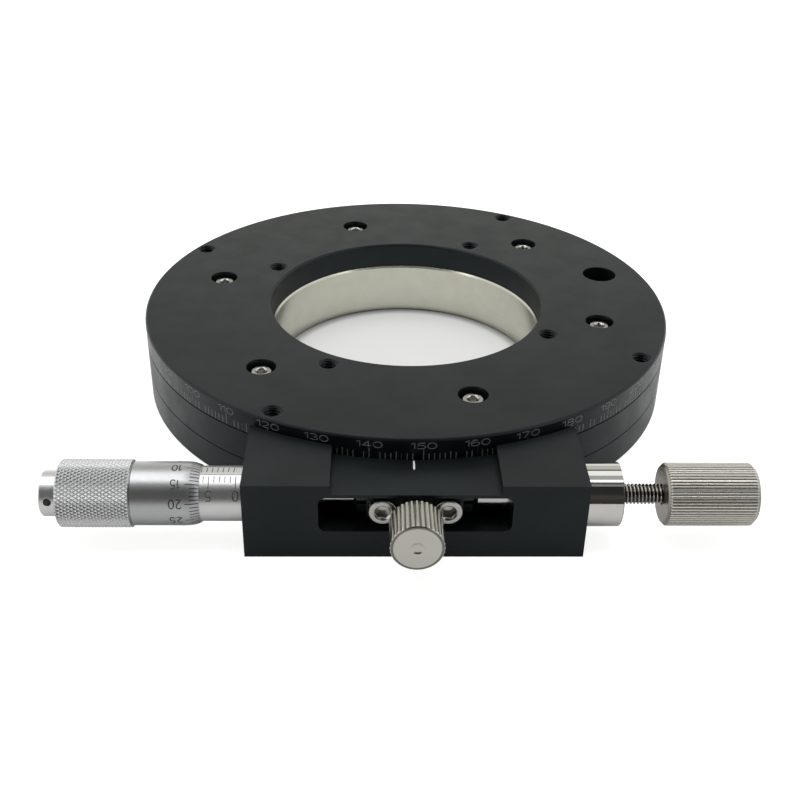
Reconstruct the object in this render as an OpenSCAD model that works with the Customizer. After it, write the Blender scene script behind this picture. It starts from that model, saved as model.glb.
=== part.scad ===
/* Manual rotation stage: a graduated table turns freely for coarse setting, or is
   clamped to a drive ring that a micrometer turns through a few degrees. */

/* [Rings] */
// Diameter shared by the table, the drive ring and the base ring
stage_d = 120; // [118:1:126]
// Bore of the hub, the clear aperture of the stage
aperture_d = 62; // [60:0.5:63]
// Thickness of the table plate
table_t = 5; // [4.5:0.5:8]
// Height of the drive ring
drive_ring_h = 6.5; // [6.4:0.1:8]
// Thickness of the base ring
base_t = 6.6; // [6.4:0.2:9]
// Gap between one ring and the next
seam = 0.2; // [0.1:0.05:0.4]
// Chamfer on the outer edges of the rings
edge_chamfer = 0.4; // [0.2:0.1:0.8]
// How far the hub bore stands inside the table's own bore
aperture_step = 0.4; // [0.2:0.1:1]

/* [Hub] */
// Depth of the table's spigot, which centres it in the hub
spigot_h = 0.9; // [0.5:0.1:1.2]
// Wall of the table's spigot
spigot_wall = 1.2; // [1:0.1:1.6]
// Wall of the hub's barrel
hub_wall = 3; // [2.4:0.1:3.2]
// Radial thickness of the drive ring, which runs on the hub's flange
drive_ring_wall = 4.75; // [4:0.05:5.2]
// Thickness of the hub's flange
flange_t = 5; // [4:0.5:5.5]
// How far the hub ends above the underside of the stage
hub_lift = 0.3; // [0.2:0.1:0.5]

/* [Bearing] */
// Diameter of the bearing balls
ball_d = 3; // [2.8:0.1:3.2]
// Number of bearing balls
ball_count = 36; // [24:1:44]
// Width of both bearing races
race_w = 4; // [3.8:0.1:4.2]
// Radial thickness of each race at its shoulder
race_t = 3; // [2.6:0.1:3]
// Height of the races above the underside of the stage
race_z = 1.5; // [1.4:0.1:1.6]
// Radial thickness of the ball cage
cage_t = 1.1; // [0.8:0.1:1.2]
// Radial width of the plate that holds the outer race in the base
retainer_w = 5.2; // [4.8:0.1:5.8]

/* [Table holes] */
// Distance of the table's cap screws in from the rim
cap_screw_inset = 15; // [13:0.5:17]
// Thread diameter of the table's cap screws
cap_screw_d = 2.5; // [2:0.5:3]
// Head diameter of the table's cap screws
cap_head_d = 4.5; // [4:0.1:5]
// Counterbore diameter over the table's cap screws
cap_bore_d = 6.3; // [5.5:0.1:6.6]
// Depth of the cap screw heads' tops below the table's face
cap_sink = 1; // [0.5:0.1:1.4]
// Distance of the inner mounting taps out from the aperture
inner_tap_offset = 4.5; // [4:0.1:6]
// Distance of the outer mounting taps in from the rim
outer_tap_inset = 3; // [2.8:0.1:6]
// Major diameter of the mounting taps
tap_d = 4; // [3:0.5:4]
// Mouth diameter of the mounting taps' chamfers
tap_mouth_d = 4.5; // [4.2:0.1:4.8]
// Diameter of the hole through which the base screws are reached
access_d = 8; // [7.4:0.1:8.2]
// Angle of the access hole about the table, from +X
access_angle = 16.6; // [14:0.2:18]

/* [Base] */
// Distance of the base's mounting holes and of the access hole in from the rim
mount_inset = 10; // [9.6:0.1:10.4]
// Diameter of the base's mounting holes
mount_d = 4.5; // [4.3:0.1:5.3]
// Depth of the counterbores over the base's mounting holes
mount_sink = 3.6; // [2:0.2:4]
// Thickness of the tab that carries the drive housing
tab_t = 4; // [3.4:0.1:4.2]
// Width of the side walls that the housing leaves round the tab
tab_inset = 2.5; // [2:0.1:3]

/* [Drive housing] */
// Width of the drive housing
housing_w = 64; // [62:0.5:68]
// Wall of the housing in front of the micrometer's axis
front_wall = 6.4; // [6.4:0.1:8]
// Distance of the micrometer's axis outside the rings
drive_offset = 5.7; // [5.5:0.1:6.5]
// Clearance of the housing round the rings
housing_gap = 0.6; // [0.3:0.1:1]
// Width of the slot in which the drive lug swings
slot_w = 36; // [35:0.5:37]
// Corner radius of the slot
slot_r = 1.5; // [0.5:0.1:2.5]
// Room above the lug in the slot
slot_over = 0.3; // [0.2:0.05:0.6]
// Room below the lug in the slot
slot_under = 0.8; // [0.4:0.1:1]
// Thickness of the bridge over the slot
bridge_t = 0.7; // [0.5:0.1:1]
// Width of the recess on top of the housing
recess_w = 31.6; // [28:0.2:34]
// Depth of the recess on top of the housing
recess_d = 2; // [1.6:0.1:2.6]

/* [Drive lug] */
// Fine travel of the drive ring each way, in degrees
fine_angle = 5; // [3:0.5:5]
// Width of the lug between the micrometer and the plunger
lug_w = 22; // [20:0.5:22]
// Width of the lug's front step
lug_step_w = 18.2; // [17.6:0.2:19]
// Depth of the flat on the drive ring that seats the lug
lug_flat = 1; // [0.8:0.1:1.2]
// Lug material in front of the micrometer's axis, up to the step
lug_front = 1.5; // [1.2:0.1:2]
// Depth of the lug's front step
lug_step = 1.7; // [1.2:0.1:1.8]
// Distance between the two lug screws
lug_screw_gap = 12.1; // [11.4:0.1:12.2]
// Thread diameter of the lug screws
lug_screw_d = 3; // [2.5:0.5:3]
// Diameter of the hardened contact buttons in the lug
button_d = 4; // [3.4:0.1:4.4]
// How far the contact buttons stand proud of the lug
button_proud = 0.3; // [0.28:0.02:0.5]

/* [Micrometer] */
// Diameter of the graduated sleeve
sleeve_d = 10.4; // [9.6:0.1:10.4]
// Length of the sleeve seated in the housing
sleeve_seat = 8; // [7:0.5:9]
// Diameter of the spindle
spindle_d = 3.5; // [3:0.1:4]
// Diameter of the lead screw
lead_d = 5; // [4.6:0.1:5.4]
// Diameter of the thimble's plain part
thimble_d = 12; // [11.8:0.1:12.4]
// Diameter of the thimble's knurled part
thimble_grip_d = 12.8; // [12.4:0.1:14]
// Bare length of sleeve between the housing and the thimble at rest
sleeve_show = 7.9; // [7:0.1:9]
// Length of the thimble's plain part
thimble_plain = 12.8; // [10:0.2:16]
// Length of the thimble's knurled part
thimble_grip = 13.4; // [10:0.2:16]
// Length of the bevel at the thimble's graduated edge
thimble_bevel = 3; // [2:0.2:6]
// Diameter of the thimble's end cap
end_cap_d = 8.7; // [7:0.1:9.5]
// Length of the thimble's end cap
end_cap_len = 3.4; // [3:0.1:6]
// Diameter of the spanner hole in the end cap
cap_hole_d = 1.5; // [1:0.1:2]

/* [Plunger and lock] */
// Diameter of the spring barrel
barrel_d = 12.2; // [11:0.1:12.6]
// Room that the closed spring needs in the barrel
spring_room = 3.1; // [2.9:0.1:5]
// Thickness of the barrel's threaded end wall
barrel_wall = 2.2; // [1.7:0.1:2.4]
// Diameter of the plunger's rod
plunger_d = 5; // [4.4:0.1:5.2]
// Wire diameter of the plunger's spring
wire_d = 0.5; // [0.4:0.02:0.54]
// Number of turns of the plunger's spring
spring_turns = 5; // [4:1:5]
// Diameter of the lock screw
lock_d = 4; // [3.6:0.1:4.2]
// Travel of the lock screw from its drawn place to its innermost one
lock_travel = 2; // [1:0.1:2]
// Length of lock screw between barrel and knob
lock_show = 8.3; // [6:0.1:12]
// Diameter of the lock knob
lock_knob_d = 12; // [10:0.5:16]
// Length of the lock knob
lock_knob_len = 17.4; // [12:0.1:20]

/* [Clamp] */
// Diameter of the clamp screw and of its brass pad
clamp_d = 4; // [3.6:0.1:4.2]
// Length of the brass clamp pad
clamp_pad_len = 4; // [3.6:0.1:4.6]
// Gap between the open clamp pad and the hub's flange
clamp_gap = 0.3; // [0.2:0.05:0.4]
// Gap between the housing's front and the clamp knob
clamp_show = 2.2; // [1:0.1:4]
// Diameter of the clamp knob
clamp_knob_d = 10; // [8:0.5:12]
// Length of the clamp knob
clamp_knob_len = 7.9; // [6:0.1:12]

/* [Hidden] */
$fn = 96;

black = [0.11, 0.12, 0.12];
nickel = [0.70, 0.68, 0.62];
satin = [0.74, 0.75, 0.75];
steel = [0.60, 0.60, 0.61];
bright = [0.82, 0.82, 0.80];
brass = [0.78, 0.62, 0.30];

// Clearances: fixed fits, running fits, screws through plain holes, and every cut's overshoot
fixed_fit = 0.02;
run_fit = 0.05;
screw_fit = 0.2;
cut = 1;

// Small chamfers on pins, and the depth of hexagon sockets in their heads
pin_chamfer = 0.2;
socket_share = 0.5;

// Heights of the ring stack
ring_z0 = base_t + seam;
ring_z1 = ring_z0 + drive_ring_h;
table_z0 = ring_z1 + seam;
table_z1 = table_z0 + table_t;
flange_z0 = table_z0 - flange_t;
stage_r = stage_d / 2;

// Radii of the hub and of the bearing, from the aperture outwards
ring_bore_r = stage_r - drive_ring_wall;
flange_r = ring_bore_r - run_fit;
bore_r = aperture_d / 2;
table_bore_r = bore_r + aperture_step;
barrel_r = bore_r + hub_wall;
spigot_r = table_bore_r + spigot_wall;
spigot_z = table_z0 - spigot_h;
spigot_gap = 0.1;
hub_bore_z1 = spigot_z - spigot_gap;
groove_depth = 0.5;
groove_r = ball_d / 2 + run_fit;
race_shoulder_r = barrel_r + race_t;
pitch_r = race_shoulder_r + ball_d / 2 - groove_depth;
outer_shoulder_r = pitch_r + ball_d / 2 - groove_depth;
outer_race_r = outer_shoulder_r + race_t;
race_mid_z = race_z + race_w / 2;
race_z1 = race_z + race_w;
race_lip = 1.6;
hub_shoulder_r = barrel_r + race_lip;
lock_ring_w = 2.2;
lock_ring_r = barrel_r + lock_ring_w;
lock_ring_t = 0.9;
lock_ring_notch = 0.9;
lock_ring_notch_w = 2;
cage_recess = 0.1;
cage_h = race_w - 2 * cage_recess;
retainer_t = race_z - hub_lift;
retainer_r0 = outer_race_r - race_lip;
retainer_r1 = retainer_r0 + retainer_w;
retainer_screw_inset = 2;
retainer_screw_r = retainer_r1 - retainer_screw_inset;
retainer_screw_count = 6;
retainer_screw_d = 2;
retainer_head_d = 3.6;
retainer_screw_len = 4;
retainer_hex_af = 1.2;

// Holes round the table
cap_screw_r = stage_r - cap_screw_inset;
cap_screw_count = 6;
cap_screw_angle = 46;
cap_head_h = 2.5;
cap_head_z1 = table_z1 - cap_sink;
cap_head_z0 = cap_head_z1 - cap_head_h;
cap_thread_len = 3.5;
cap_screw_tip = table_z0 - cap_thread_len;
cap_seat_overlap = 0.1;
cap_hex_af = 2;
inner_tap_r = bore_r + inner_tap_offset;
outer_tap_r = stage_r - outer_tap_inset;
tap_count = 4;
tap_angle = 61;
mount_r = stage_r - mount_inset;
mount_angle = 45;

// Drive axis, along X in front of the rings
drive_r = stage_r + drive_offset;
drive_y = -drive_r;
drive_z = (ring_z0 + ring_z1) / 2;
fine_travel = drive_r * fine_angle * PI / 180;

// Housing
side_x = housing_w / 2;
front_y = -(drive_r + front_wall);
slot_x = slot_w / 2;
slot_z0 = ring_z0 - slot_under;
slot_z1 = ring_z1 + slot_over;
recess_z = slot_z1 + bridge_t;
housing_z1 = recess_z + recess_d;
arc_r = stage_r + housing_gap;
tab_x = side_x - tab_inset;
tab_front_y = front_y + tab_inset;
tab_root = 12;
tab_back_y = tab_root - stage_r;
horn_len = 0.5;
housing_back_y = horn_len - sqrt(arc_r * arc_r - side_x * side_x);
housing_screw_inset = 6;
housing_screw_wall = 2.6;
housing_screw_x = side_x - housing_screw_inset;
housing_screw_y = -sqrt(pow(arc_r + housing_screw_wall, 2) - pow(housing_screw_x, 2));
housing_screw_d = 3;
housing_head_d = 5.6;
housing_head_h = 1.5;
housing_head_sink = 0.4;
housing_screw_len = 8;
housing_hex_af = 2;
tap_room = 0.5;

// Lug that the micrometer and the plunger hold between them
lug_x = lug_w / 2;
lug_seat_y = -(stage_r - lug_flat);
lug_mid_y = -(drive_r + lug_front);
lug_front_y = lug_mid_y - lug_step;
lug_head_d = 5.5;
lug_head_h = 3;
lug_hex_af = 2.5;
lug_tip_gap = 0.9;
lug_screw_tip_y = -(flange_r + lug_tip_gap);
button_x = lug_x + button_proud;
button_wall = 0.3;
button_len = lug_x - (lug_screw_gap + lug_screw_d) / 2 - button_wall;
button_dome_r = 8;
contact_gap = 0.02;

// Micrometer, from the spindle's tip outwards along -X
tip_x = -(button_x + contact_gap);
nose_recess = 0.5;
nose_x = -(slot_x + nose_recess);
nose_d = 6.5;
seat_x = -(side_x - sleeve_seat);
guide_len = 3.5;
guide_x = seat_x - guide_len;
lead_gap = 0.8;
lead_x = guide_x - fine_travel - lead_gap;
thimble_x = -(side_x + sleeve_show);
grip_x = thimble_x - thimble_plain;
thimble_end_x = grip_x - thimble_grip;
end_cap_x = thimble_end_x - end_cap_len;
thimble_rear_wall = 1.6;
thimble_floor_x = thimble_end_x + thimble_rear_wall;
thimble_room = 1.3;
sleeve_end_x = thimble_floor_x + fine_travel + thimble_room;
nut_len = 3.5;
nut_gap = 0.2;
nut_x = sleeve_end_x + nut_len + 2 * nut_gap;
nut_wall = 0.85;
nut_inset = 0.15;
sleeve_tail_d = sleeve_d - 2 * (nut_wall + nut_inset);
lead_nut_len = 12;
lead_nut_x = sleeve_end_x + lead_nut_len;
lead_relief = 0.6;
thimble_lip = 0.2;
thimble_end_chamfer = 0.3;
end_cap_chamfer = 0.3;
cap_hole_tilt = 78;
tail_screw_d = 2.5;
tail_screw_len = 4.5;
tail_screw_gap = 0.3;
set_screw_d = 3;
set_screw_z = 0.8;
set_screw_hex_af = 1.5;
set_screw_hex_depth = 1.2;
set_screw_x = -(side_x - sleeve_seat / 2);

// Plunger, spring barrel and lock screw, outwards along +X
barrel_chamfer = 0.2;
plunger_chamfer = 0.5;
barrel_stem_d = 9;
barrel_stem_wall = 2;
barrel_stem_x = slot_x + barrel_stem_wall;
barrel_bore_d = 7;
end_play = 0.4;
collar_x0 = barrel_stem_x + fine_travel + end_play;
collar_len = 1.5;
collar_x1 = collar_x0 + collar_len;
collar_d = barrel_bore_d - 2 * run_fit;
barrel_floor_x = collar_x1 + fine_travel + spring_room;
barrel_end_x = barrel_floor_x + barrel_wall;
spring_gap = 0.2;
spring_r = barrel_bore_d / 2 - wire_d / 2 - spring_gap;
lock_tip_len = 1;
lock_tip_x = collar_x1 + fine_travel + run_fit + lock_travel;
lock_tip_x1 = lock_tip_x + lock_tip_len;
lock_tip_d = lock_d - 2 * spring_gap;
lock_knob_x = barrel_end_x + lock_show;
lock_knob_end_x = lock_knob_x + lock_knob_len;
stud_grip = 5;
knob_hole_gap = 0.2;
knob_chamfer = 0.6;
knob_end_chamfer = 0.8;

// Clamp screw, outwards along -Y
pad_y = -(flange_r + clamp_gap);
pad_end_y = pad_y - clamp_pad_len;
clamp_knob_y = front_y - clamp_show;
clamp_knob_end_y = clamp_knob_y - clamp_knob_len;
clamp_knob_chamfer = 0.2;
dimple_d = 2.4;
dimple_depth = 0.2;

// A ring about the stage's axis
module ring(r_out, r_in, z0, z1) {
    difference() {
        translate([0, 0, z0])
            cylinder(r = r_out, h = z1 - z0);
        translate([0, 0, z0 - cut])
            cylinder(r = r_in, h = z1 - z0 + 2 * cut);
    }
}

// A disc about the stage's axis, with chamfered edges
module disc(r, z0, z1, low, high) {
    rotate_extrude()
        polygon([[0, z0], [r - low, z0], [r, z0 + low], [r, z1 - high], [r - high, z1], [0, z1]]);
}

// Copies at equal steps on a circle about the stage's axis
module on_circle(r, count, angle) {
    for (i = [0 : count - 1])
        rotate(angle + i * 360 / count)
            translate([r, 0, 0])
                children();
}

// An upright rod at its own place
module z_rod(d, z0, z1) {
    translate([0, 0, z0])
        cylinder(d = d, h = z1 - z0);
}

// A rod on the drive axis, between two places along X
module x_rod(d, x0, x1) {
    translate([x0, drive_y, drive_z])
        rotate([0, 90, 0])
            cylinder(d = d, h = x1 - x0);
}

// A rod along Y at the drive axis' height, between two places along Y
module y_rod(d, y0, y1, x = 0) {
    translate([x, y0, drive_z])
        rotate([-90, 0, 0])
            cylinder(d = d, h = y1 - y0);
}

// A turned shape on the drive axis; points are [place along X, radius]
module x_turned(points) {
    translate([0, drive_y, drive_z])
        rotate([0, 90, 0])
            rotate_extrude()
                polygon([for (p = points) [p[1], p[0]]]);
}

// A turned shape on the clamp's axis; points are [place along Y, radius]
module y_turned(points) {
    translate([0, 0, drive_z])
        rotate([-90, 0, 0])
            rotate_extrude()
                polygon([for (p = points) [p[1], p[0]]]);
}

// A hexagon prism of a given width across flats, upright
module hex_z(af, z0, z1) {
    translate([0, 0, z0])
        cylinder(d = af / cos(30), h = z1 - z0, $fn = 6);
}

// A box between two corners
module block(low, high) {
    translate(low)
        cube(high - low);
}

// The slot's outline with round corners, run along Y
module slot_cutter(y0, y1) {
    block([-slot_x + slot_r, y0, slot_z0], [slot_x - slot_r, y1, slot_z1]);
    block([-slot_x, y0, slot_z0 + slot_r], [slot_x, y1, slot_z1 - slot_r]);
    for (x = [-slot_x + slot_r, slot_x - slot_r])
        for (z = [slot_z0 + slot_r, slot_z1 - slot_r])
            translate([x, y0, z])
                rotate([-90, 0, 0])
                    cylinder(r = slot_r, h = y1 - y0);
}

// Places of the two screws under the drive housing
module at_housing_screws() {
    for (x = [-housing_screw_x, housing_screw_x])
        translate([x, housing_screw_y, 0])
            children();
}

module base_ring() {
    color(black)
        difference() {
            union() {
                disc(stage_r, 0, base_t, edge_chamfer, 0);
                block([-tab_x, tab_front_y, 0], [tab_x, tab_back_y, tab_t]);
            }
            z_rod(2 * (outer_race_r - race_lip), -cut, base_t + cut);
            z_rod(2 * (outer_race_r + fixed_fit), -cut, race_z1);
            z_rod(2 * (retainer_r1 + fixed_fit), -cut, race_z);
            on_circle(mount_r, tap_count, mount_angle) {
                z_rod(mount_d, -cut, base_t + cut);
                z_rod(access_d, base_t - mount_sink, base_t + cut);
            }
            on_circle(retainer_screw_r, retainer_screw_count, 0)
                z_rod(retainer_screw_d + 2 * fixed_fit, 0, race_z + retainer_screw_len);
            at_housing_screws() {
                z_rod(housing_screw_d + 2 * screw_fit, -cut, base_t);
                z_rod(housing_head_d + screw_fit, -cut, housing_head_h + housing_head_sink);
            }
            translate([set_screw_x, drive_y, 0])
                z_rod(set_screw_d + 2 * screw_fit, -cut, tab_t + cut);
        }
}

module drive_housing() {
    color(black)
        difference() {
            block([-side_x, front_y, 0], [side_x, housing_back_y, housing_z1]);
            z_rod(2 * arc_r, base_t + seam / 2, housing_z1 + cut);
            z_rod(2 * (stage_r + fixed_fit), -cut, base_t + seam);
            block(
                [-tab_x - fixed_fit, tab_front_y - fixed_fit, -cut],
                [tab_x + fixed_fit, tab_back_y, tab_t]
            );
            block([-recess_w / 2, front_y - cut, recess_z], [recess_w / 2, 0, housing_z1 + cut]);
            slot_cutter(front_y - cut, 0);
            x_rod(sleeve_d + 2 * fixed_fit, -side_x - cut, seat_x);
            x_rod(nose_d + 2 * fixed_fit, -side_x, 0);
            x_rod(barrel_stem_d + 2 * fixed_fit, barrel_stem_x, side_x + cut);
            x_rod(plunger_d + 2 * run_fit, 0, side_x);
            at_housing_screws()
                z_rod(housing_screw_d + 2 * fixed_fit, 0, housing_screw_len + tap_room);
            translate([set_screw_x, drive_y, 0])
                z_rod(set_screw_d + 2 * fixed_fit, 0, drive_z);
        }
}

module housing_screws() {
    color(steel)
        at_housing_screws()
            difference() {
                union() {
                    z_rod(housing_screw_d, housing_head_sink, housing_screw_len);
                    z_rod(housing_head_d, housing_head_sink, housing_head_sink + housing_head_h);
                }
                hex_z(housing_hex_af, -cut, housing_head_sink + housing_head_h * socket_share);
            }
}

module bearing_outer_race() {
    color(steel)
        difference() {
            ring(outer_race_r, outer_shoulder_r, race_z, race_z1);
            rotate_extrude()
                translate([pitch_r, race_mid_z])
                    circle(r = groove_r);
        }
}

module bearing_inner_race() {
    color(steel)
        difference() {
            ring(race_shoulder_r, barrel_r + fixed_fit, race_z, race_z1);
            rotate_extrude()
                translate([pitch_r, race_mid_z])
                    circle(r = groove_r);
        }
}

module bearing_cage() {
    color(brass)
        difference() {
            ring(pitch_r + cage_t / 2, pitch_r - cage_t / 2, race_mid_z - cage_h / 2, race_mid_z + cage_h / 2);
            on_circle(pitch_r, ball_count, 0)
                translate([-ball_d, 0, race_mid_z])
                    rotate([0, 90, 0])
                        cylinder(d = ball_d + 2 * fixed_fit, h = 2 * ball_d);
        }
}

module bearing_balls() {
    color(bright)
        on_circle(pitch_r, ball_count, 0)
            translate([0, 0, race_mid_z])
                sphere(d = ball_d);
}

module bearing_retainer() {
    color(black)
        difference() {
            ring(retainer_r1, retainer_r0, race_z - retainer_t, race_z);
            on_circle(retainer_screw_r, retainer_screw_count, 0) {
                z_rod(retainer_screw_d + 2 * fixed_fit, -cut, race_z + cut);
                translate([0, 0, race_z - retainer_t])
                    cylinder(
                        r1 = retainer_head_d / 2 + fixed_fit,
                        r2 = retainer_screw_d / 2 + fixed_fit,
                        h = (retainer_head_d - retainer_screw_d) / 2
                    );
            }
        }
}

module retainer_screws() {
    color(steel)
        on_circle(retainer_screw_r, retainer_screw_count, 0)
            difference() {
                union() {
                    z_rod(retainer_screw_d, race_z - retainer_t, race_z + retainer_screw_len - tap_room);
                    translate([0, 0, race_z - retainer_t])
                        cylinder(
                            r1 = retainer_head_d / 2,
                            r2 = retainer_screw_d / 2,
                            h = (retainer_head_d - retainer_screw_d) / 2
                        );
                }
                hex_z(retainer_hex_af, -cut, race_z - retainer_t * socket_share);
            }
}

module bearing_lock_ring() {
    color(black)
        difference() {
            ring(lock_ring_r, barrel_r + fixed_fit, race_z - lock_ring_t, race_z);
            on_circle(lock_ring_r, tap_count, mount_angle)
                block(
                    [-lock_ring_notch, -lock_ring_notch_w / 2, -cut],
                    [cut, lock_ring_notch_w / 2, race_z + cut]
                );
        }
}

module drive_ring() {
    color(black)
        difference() {
            disc(stage_r, ring_z0, ring_z1, 0, 0);
            z_rod(2 * ring_bore_r, ring_z0 - cut, ring_z1 + cut);
            block([-lug_x - cut, -stage_r - cut, ring_z0 - cut], [lug_x + cut, lug_seat_y, ring_z1 + cut]);
            y_rod(clamp_d + 2 * run_fit, -stage_r, 0);
            for (x = [-lug_screw_gap / 2, lug_screw_gap / 2])
                y_rod(lug_screw_d + 2 * fixed_fit, -stage_r, 0, x);
        }
}

module drive_lug() {
    color(black)
        difference() {
            union() {
                block([-lug_x, lug_mid_y, ring_z0], [lug_x, lug_seat_y, ring_z1]);
                block([-lug_step_w / 2, lug_front_y, ring_z0], [lug_step_w / 2, lug_seat_y, ring_z1]);
            }
            y_rod(clamp_d + 2 * run_fit, lug_front_y - cut, 0);
            for (x = [-lug_screw_gap / 2, lug_screw_gap / 2])
                y_rod(lug_screw_d + 2 * screw_fit, lug_front_y - cut, 0, x);
            x_rod(button_d + 2 * fixed_fit, -side_x, -lug_x + button_len);
            x_rod(button_d + 2 * fixed_fit, lug_x - button_len, side_x);
        }
}

module contact_buttons() {
    color(bright)
        for (side = [0, 1])
            mirror([side, 0, 0])
                intersection() {
                    x_rod(button_d, lug_x - button_len, button_x);
                    translate([button_x - button_dome_r, drive_y, drive_z])
                        sphere(r = button_dome_r);
                }
}

module lug_screws() {
    color(bright)
        for (x = [-lug_screw_gap / 2, lug_screw_gap / 2])
            difference() {
                union() {
                    y_rod(lug_screw_d, lug_front_y, lug_screw_tip_y, x);
                    y_rod(lug_head_d, lug_front_y - lug_head_h, lug_front_y, x);
                }
                translate([x, lug_front_y - lug_head_h - cut, drive_z])
                    rotate([-90, 0, 0])
                        hex_z(lug_hex_af, 0, cut + lug_head_h * socket_share);
            }
}

module table_plate() {
    color(black)
        difference() {
            union() {
                disc(stage_r, table_z0, table_z1, 0, edge_chamfer);
                z_rod(2 * spigot_r, spigot_z, table_z0);
            }
            z_rod(2 * table_bore_r, spigot_z - cut, table_z1 + cut);
            translate([0, 0, table_z1 - edge_chamfer])
                cylinder(r1 = table_bore_r, r2 = table_bore_r + 2 * edge_chamfer, h = 2 * edge_chamfer);
            on_circle(cap_screw_r, cap_screw_count, cap_screw_angle) {
                z_rod(cap_screw_d + 2 * screw_fit, table_z0 - cut, table_z1 + cut);
                z_rod(cap_bore_d, cap_head_z0, table_z1 + cut);
            }
            for (r = [inner_tap_r, outer_tap_r])
                on_circle(r, tap_count, tap_angle) {
                    z_rod(tap_d, table_z0 - cut, table_z1 + cut);
                    translate([0, 0, table_z1 - (tap_mouth_d - tap_d) / 2])
                        cylinder(d1 = tap_d, d2 = tap_mouth_d, h = (tap_mouth_d - tap_d) / 2);
                }
            on_circle(mount_r, 1, access_angle)
                z_rod(access_d, table_z0 - cut, table_z1 + cut);
        }
}

module hub_ring() {
    color(nickel)
        difference() {
            union() {
                z_rod(2 * barrel_r, hub_lift, table_z0);
                z_rod(2 * hub_shoulder_r, race_z1, table_z0);
                z_rod(2 * flange_r, flange_z0, table_z0);
            }
            z_rod(aperture_d, -cut, table_z0 + cut);
            z_rod(2 * (spigot_r + fixed_fit), hub_bore_z1, table_z0 + cut);
            translate([0, 0, hub_bore_z1 - edge_chamfer])
                cylinder(r1 = bore_r, r2 = bore_r + 2 * edge_chamfer, h = 2 * edge_chamfer);
            on_circle(cap_screw_r, cap_screw_count, cap_screw_angle)
                z_rod(cap_screw_d + 2 * fixed_fit, flange_z0 - cut, table_z0 + cut);
            on_circle(mount_r, 1, access_angle)
                z_rod(access_d, flange_z0 - cut, table_z0 + cut);
        }
}

module table_screws() {
    color(bright)
        on_circle(cap_screw_r, cap_screw_count, cap_screw_angle)
            difference() {
                union() {
                    z_rod(cap_screw_d, cap_screw_tip, cap_head_z0 + cap_seat_overlap);
                    z_rod(cap_head_d, cap_head_z0, cap_head_z1);
                }
                hex_z(cap_hex_af, cap_head_z0 + cap_head_h * socket_share, table_z1);
            }
}

module micrometer_sleeve() {
    color(satin)
        x_turned([
            [nose_x, spindle_d / 2 + run_fit],
            [nose_x, nose_d / 2],
            [seat_x, nose_d / 2],
            [seat_x, sleeve_d / 2],
            [nut_x, sleeve_d / 2],
            [nut_x, sleeve_tail_d / 2],
            [sleeve_end_x, sleeve_tail_d / 2],
            [sleeve_end_x, lead_d / 2 + run_fit],
            [lead_nut_x, lead_d / 2 + run_fit],
            [lead_nut_x, lead_d / 2 + lead_relief],
            [guide_x, lead_d / 2 + lead_relief],
            [guide_x, spindle_d / 2 + run_fit]
        ]);
}

module adjusting_nut() {
    color(steel)
        x_turned([
            [nut_x - nut_gap, sleeve_tail_d / 2 + fixed_fit],
            [nut_x - nut_gap, sleeve_tail_d / 2 + nut_wall],
            [nut_x - nut_gap - nut_len, sleeve_tail_d / 2 + nut_wall],
            [nut_x - nut_gap - nut_len, sleeve_tail_d / 2 + fixed_fit]
        ]);
}

module sleeve_set_screw() {
    color(steel)
        translate([set_screw_x, drive_y, 0])
            difference() {
                z_rod(set_screw_d, set_screw_z, drive_z - sleeve_d / 2 - run_fit);
                hex_z(set_screw_hex_af, -cut, set_screw_z + set_screw_hex_depth);
            }
}

module spindle() {
    color(bright)
        x_turned([
            [tip_x, 0],
            [tip_x, spindle_d / 2 - pin_chamfer],
            [tip_x - pin_chamfer, spindle_d / 2],
            [lead_x, spindle_d / 2],
            [lead_x, 0]
        ]);
}

module lead_screw() {
    color(steel)
        difference() {
            x_rod(lead_d, thimble_end_x, lead_x - run_fit);
            x_rod(tail_screw_d + 2 * fixed_fit, thimble_end_x - cut, thimble_end_x + tail_screw_len);
        }
}

module thimble() {
    color(satin)
        x_turned([
            [thimble_x, sleeve_d / 2 + run_fit],
            [thimble_x, sleeve_d / 2 + thimble_lip],
            [thimble_x - thimble_bevel, thimble_d / 2],
            [grip_x, thimble_d / 2],
            [grip_x, thimble_grip_d / 2 - pin_chamfer],
            [grip_x - pin_chamfer, thimble_grip_d / 2],
            [thimble_end_x + thimble_end_chamfer, thimble_grip_d / 2],
            [thimble_end_x, thimble_grip_d / 2 - thimble_end_chamfer],
            [thimble_end_x, lead_d / 2 + fixed_fit],
            [thimble_floor_x, lead_d / 2 + fixed_fit],
            [thimble_floor_x, sleeve_d / 2 + run_fit]
        ]);
}

module thimble_end_cap() {
    color(satin)
        difference() {
            union() {
                x_turned([
                    [end_cap_x, 0],
                    [end_cap_x, end_cap_d / 2 - end_cap_chamfer],
                    [end_cap_x + end_cap_chamfer, end_cap_d / 2],
                    [thimble_end_x, end_cap_d / 2],
                    [thimble_end_x, 0]
                ]);
                x_rod(tail_screw_d, thimble_end_x - cut, thimble_end_x + tail_screw_len - tail_screw_gap);
            }
            translate([thimble_end_x - end_cap_len / 2, drive_y, drive_z])
                rotate([cap_hole_tilt, 0, 0])
                    cylinder(d = cap_hole_d, h = end_cap_d);
        }
}

module plunger_barrel() {
    color(bright)
        x_turned([
            [barrel_stem_x + run_fit, barrel_bore_d / 2],
            [barrel_stem_x + run_fit, barrel_stem_d / 2],
            [side_x, barrel_stem_d / 2],
            [side_x, barrel_d / 2],
            [barrel_end_x - barrel_chamfer, barrel_d / 2],
            [barrel_end_x, barrel_d / 2 - barrel_chamfer],
            [barrel_end_x, lock_d / 2 + run_fit],
            [barrel_floor_x, lock_d / 2 + run_fit],
            [barrel_floor_x, barrel_bore_d / 2]
        ]);
}

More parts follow.
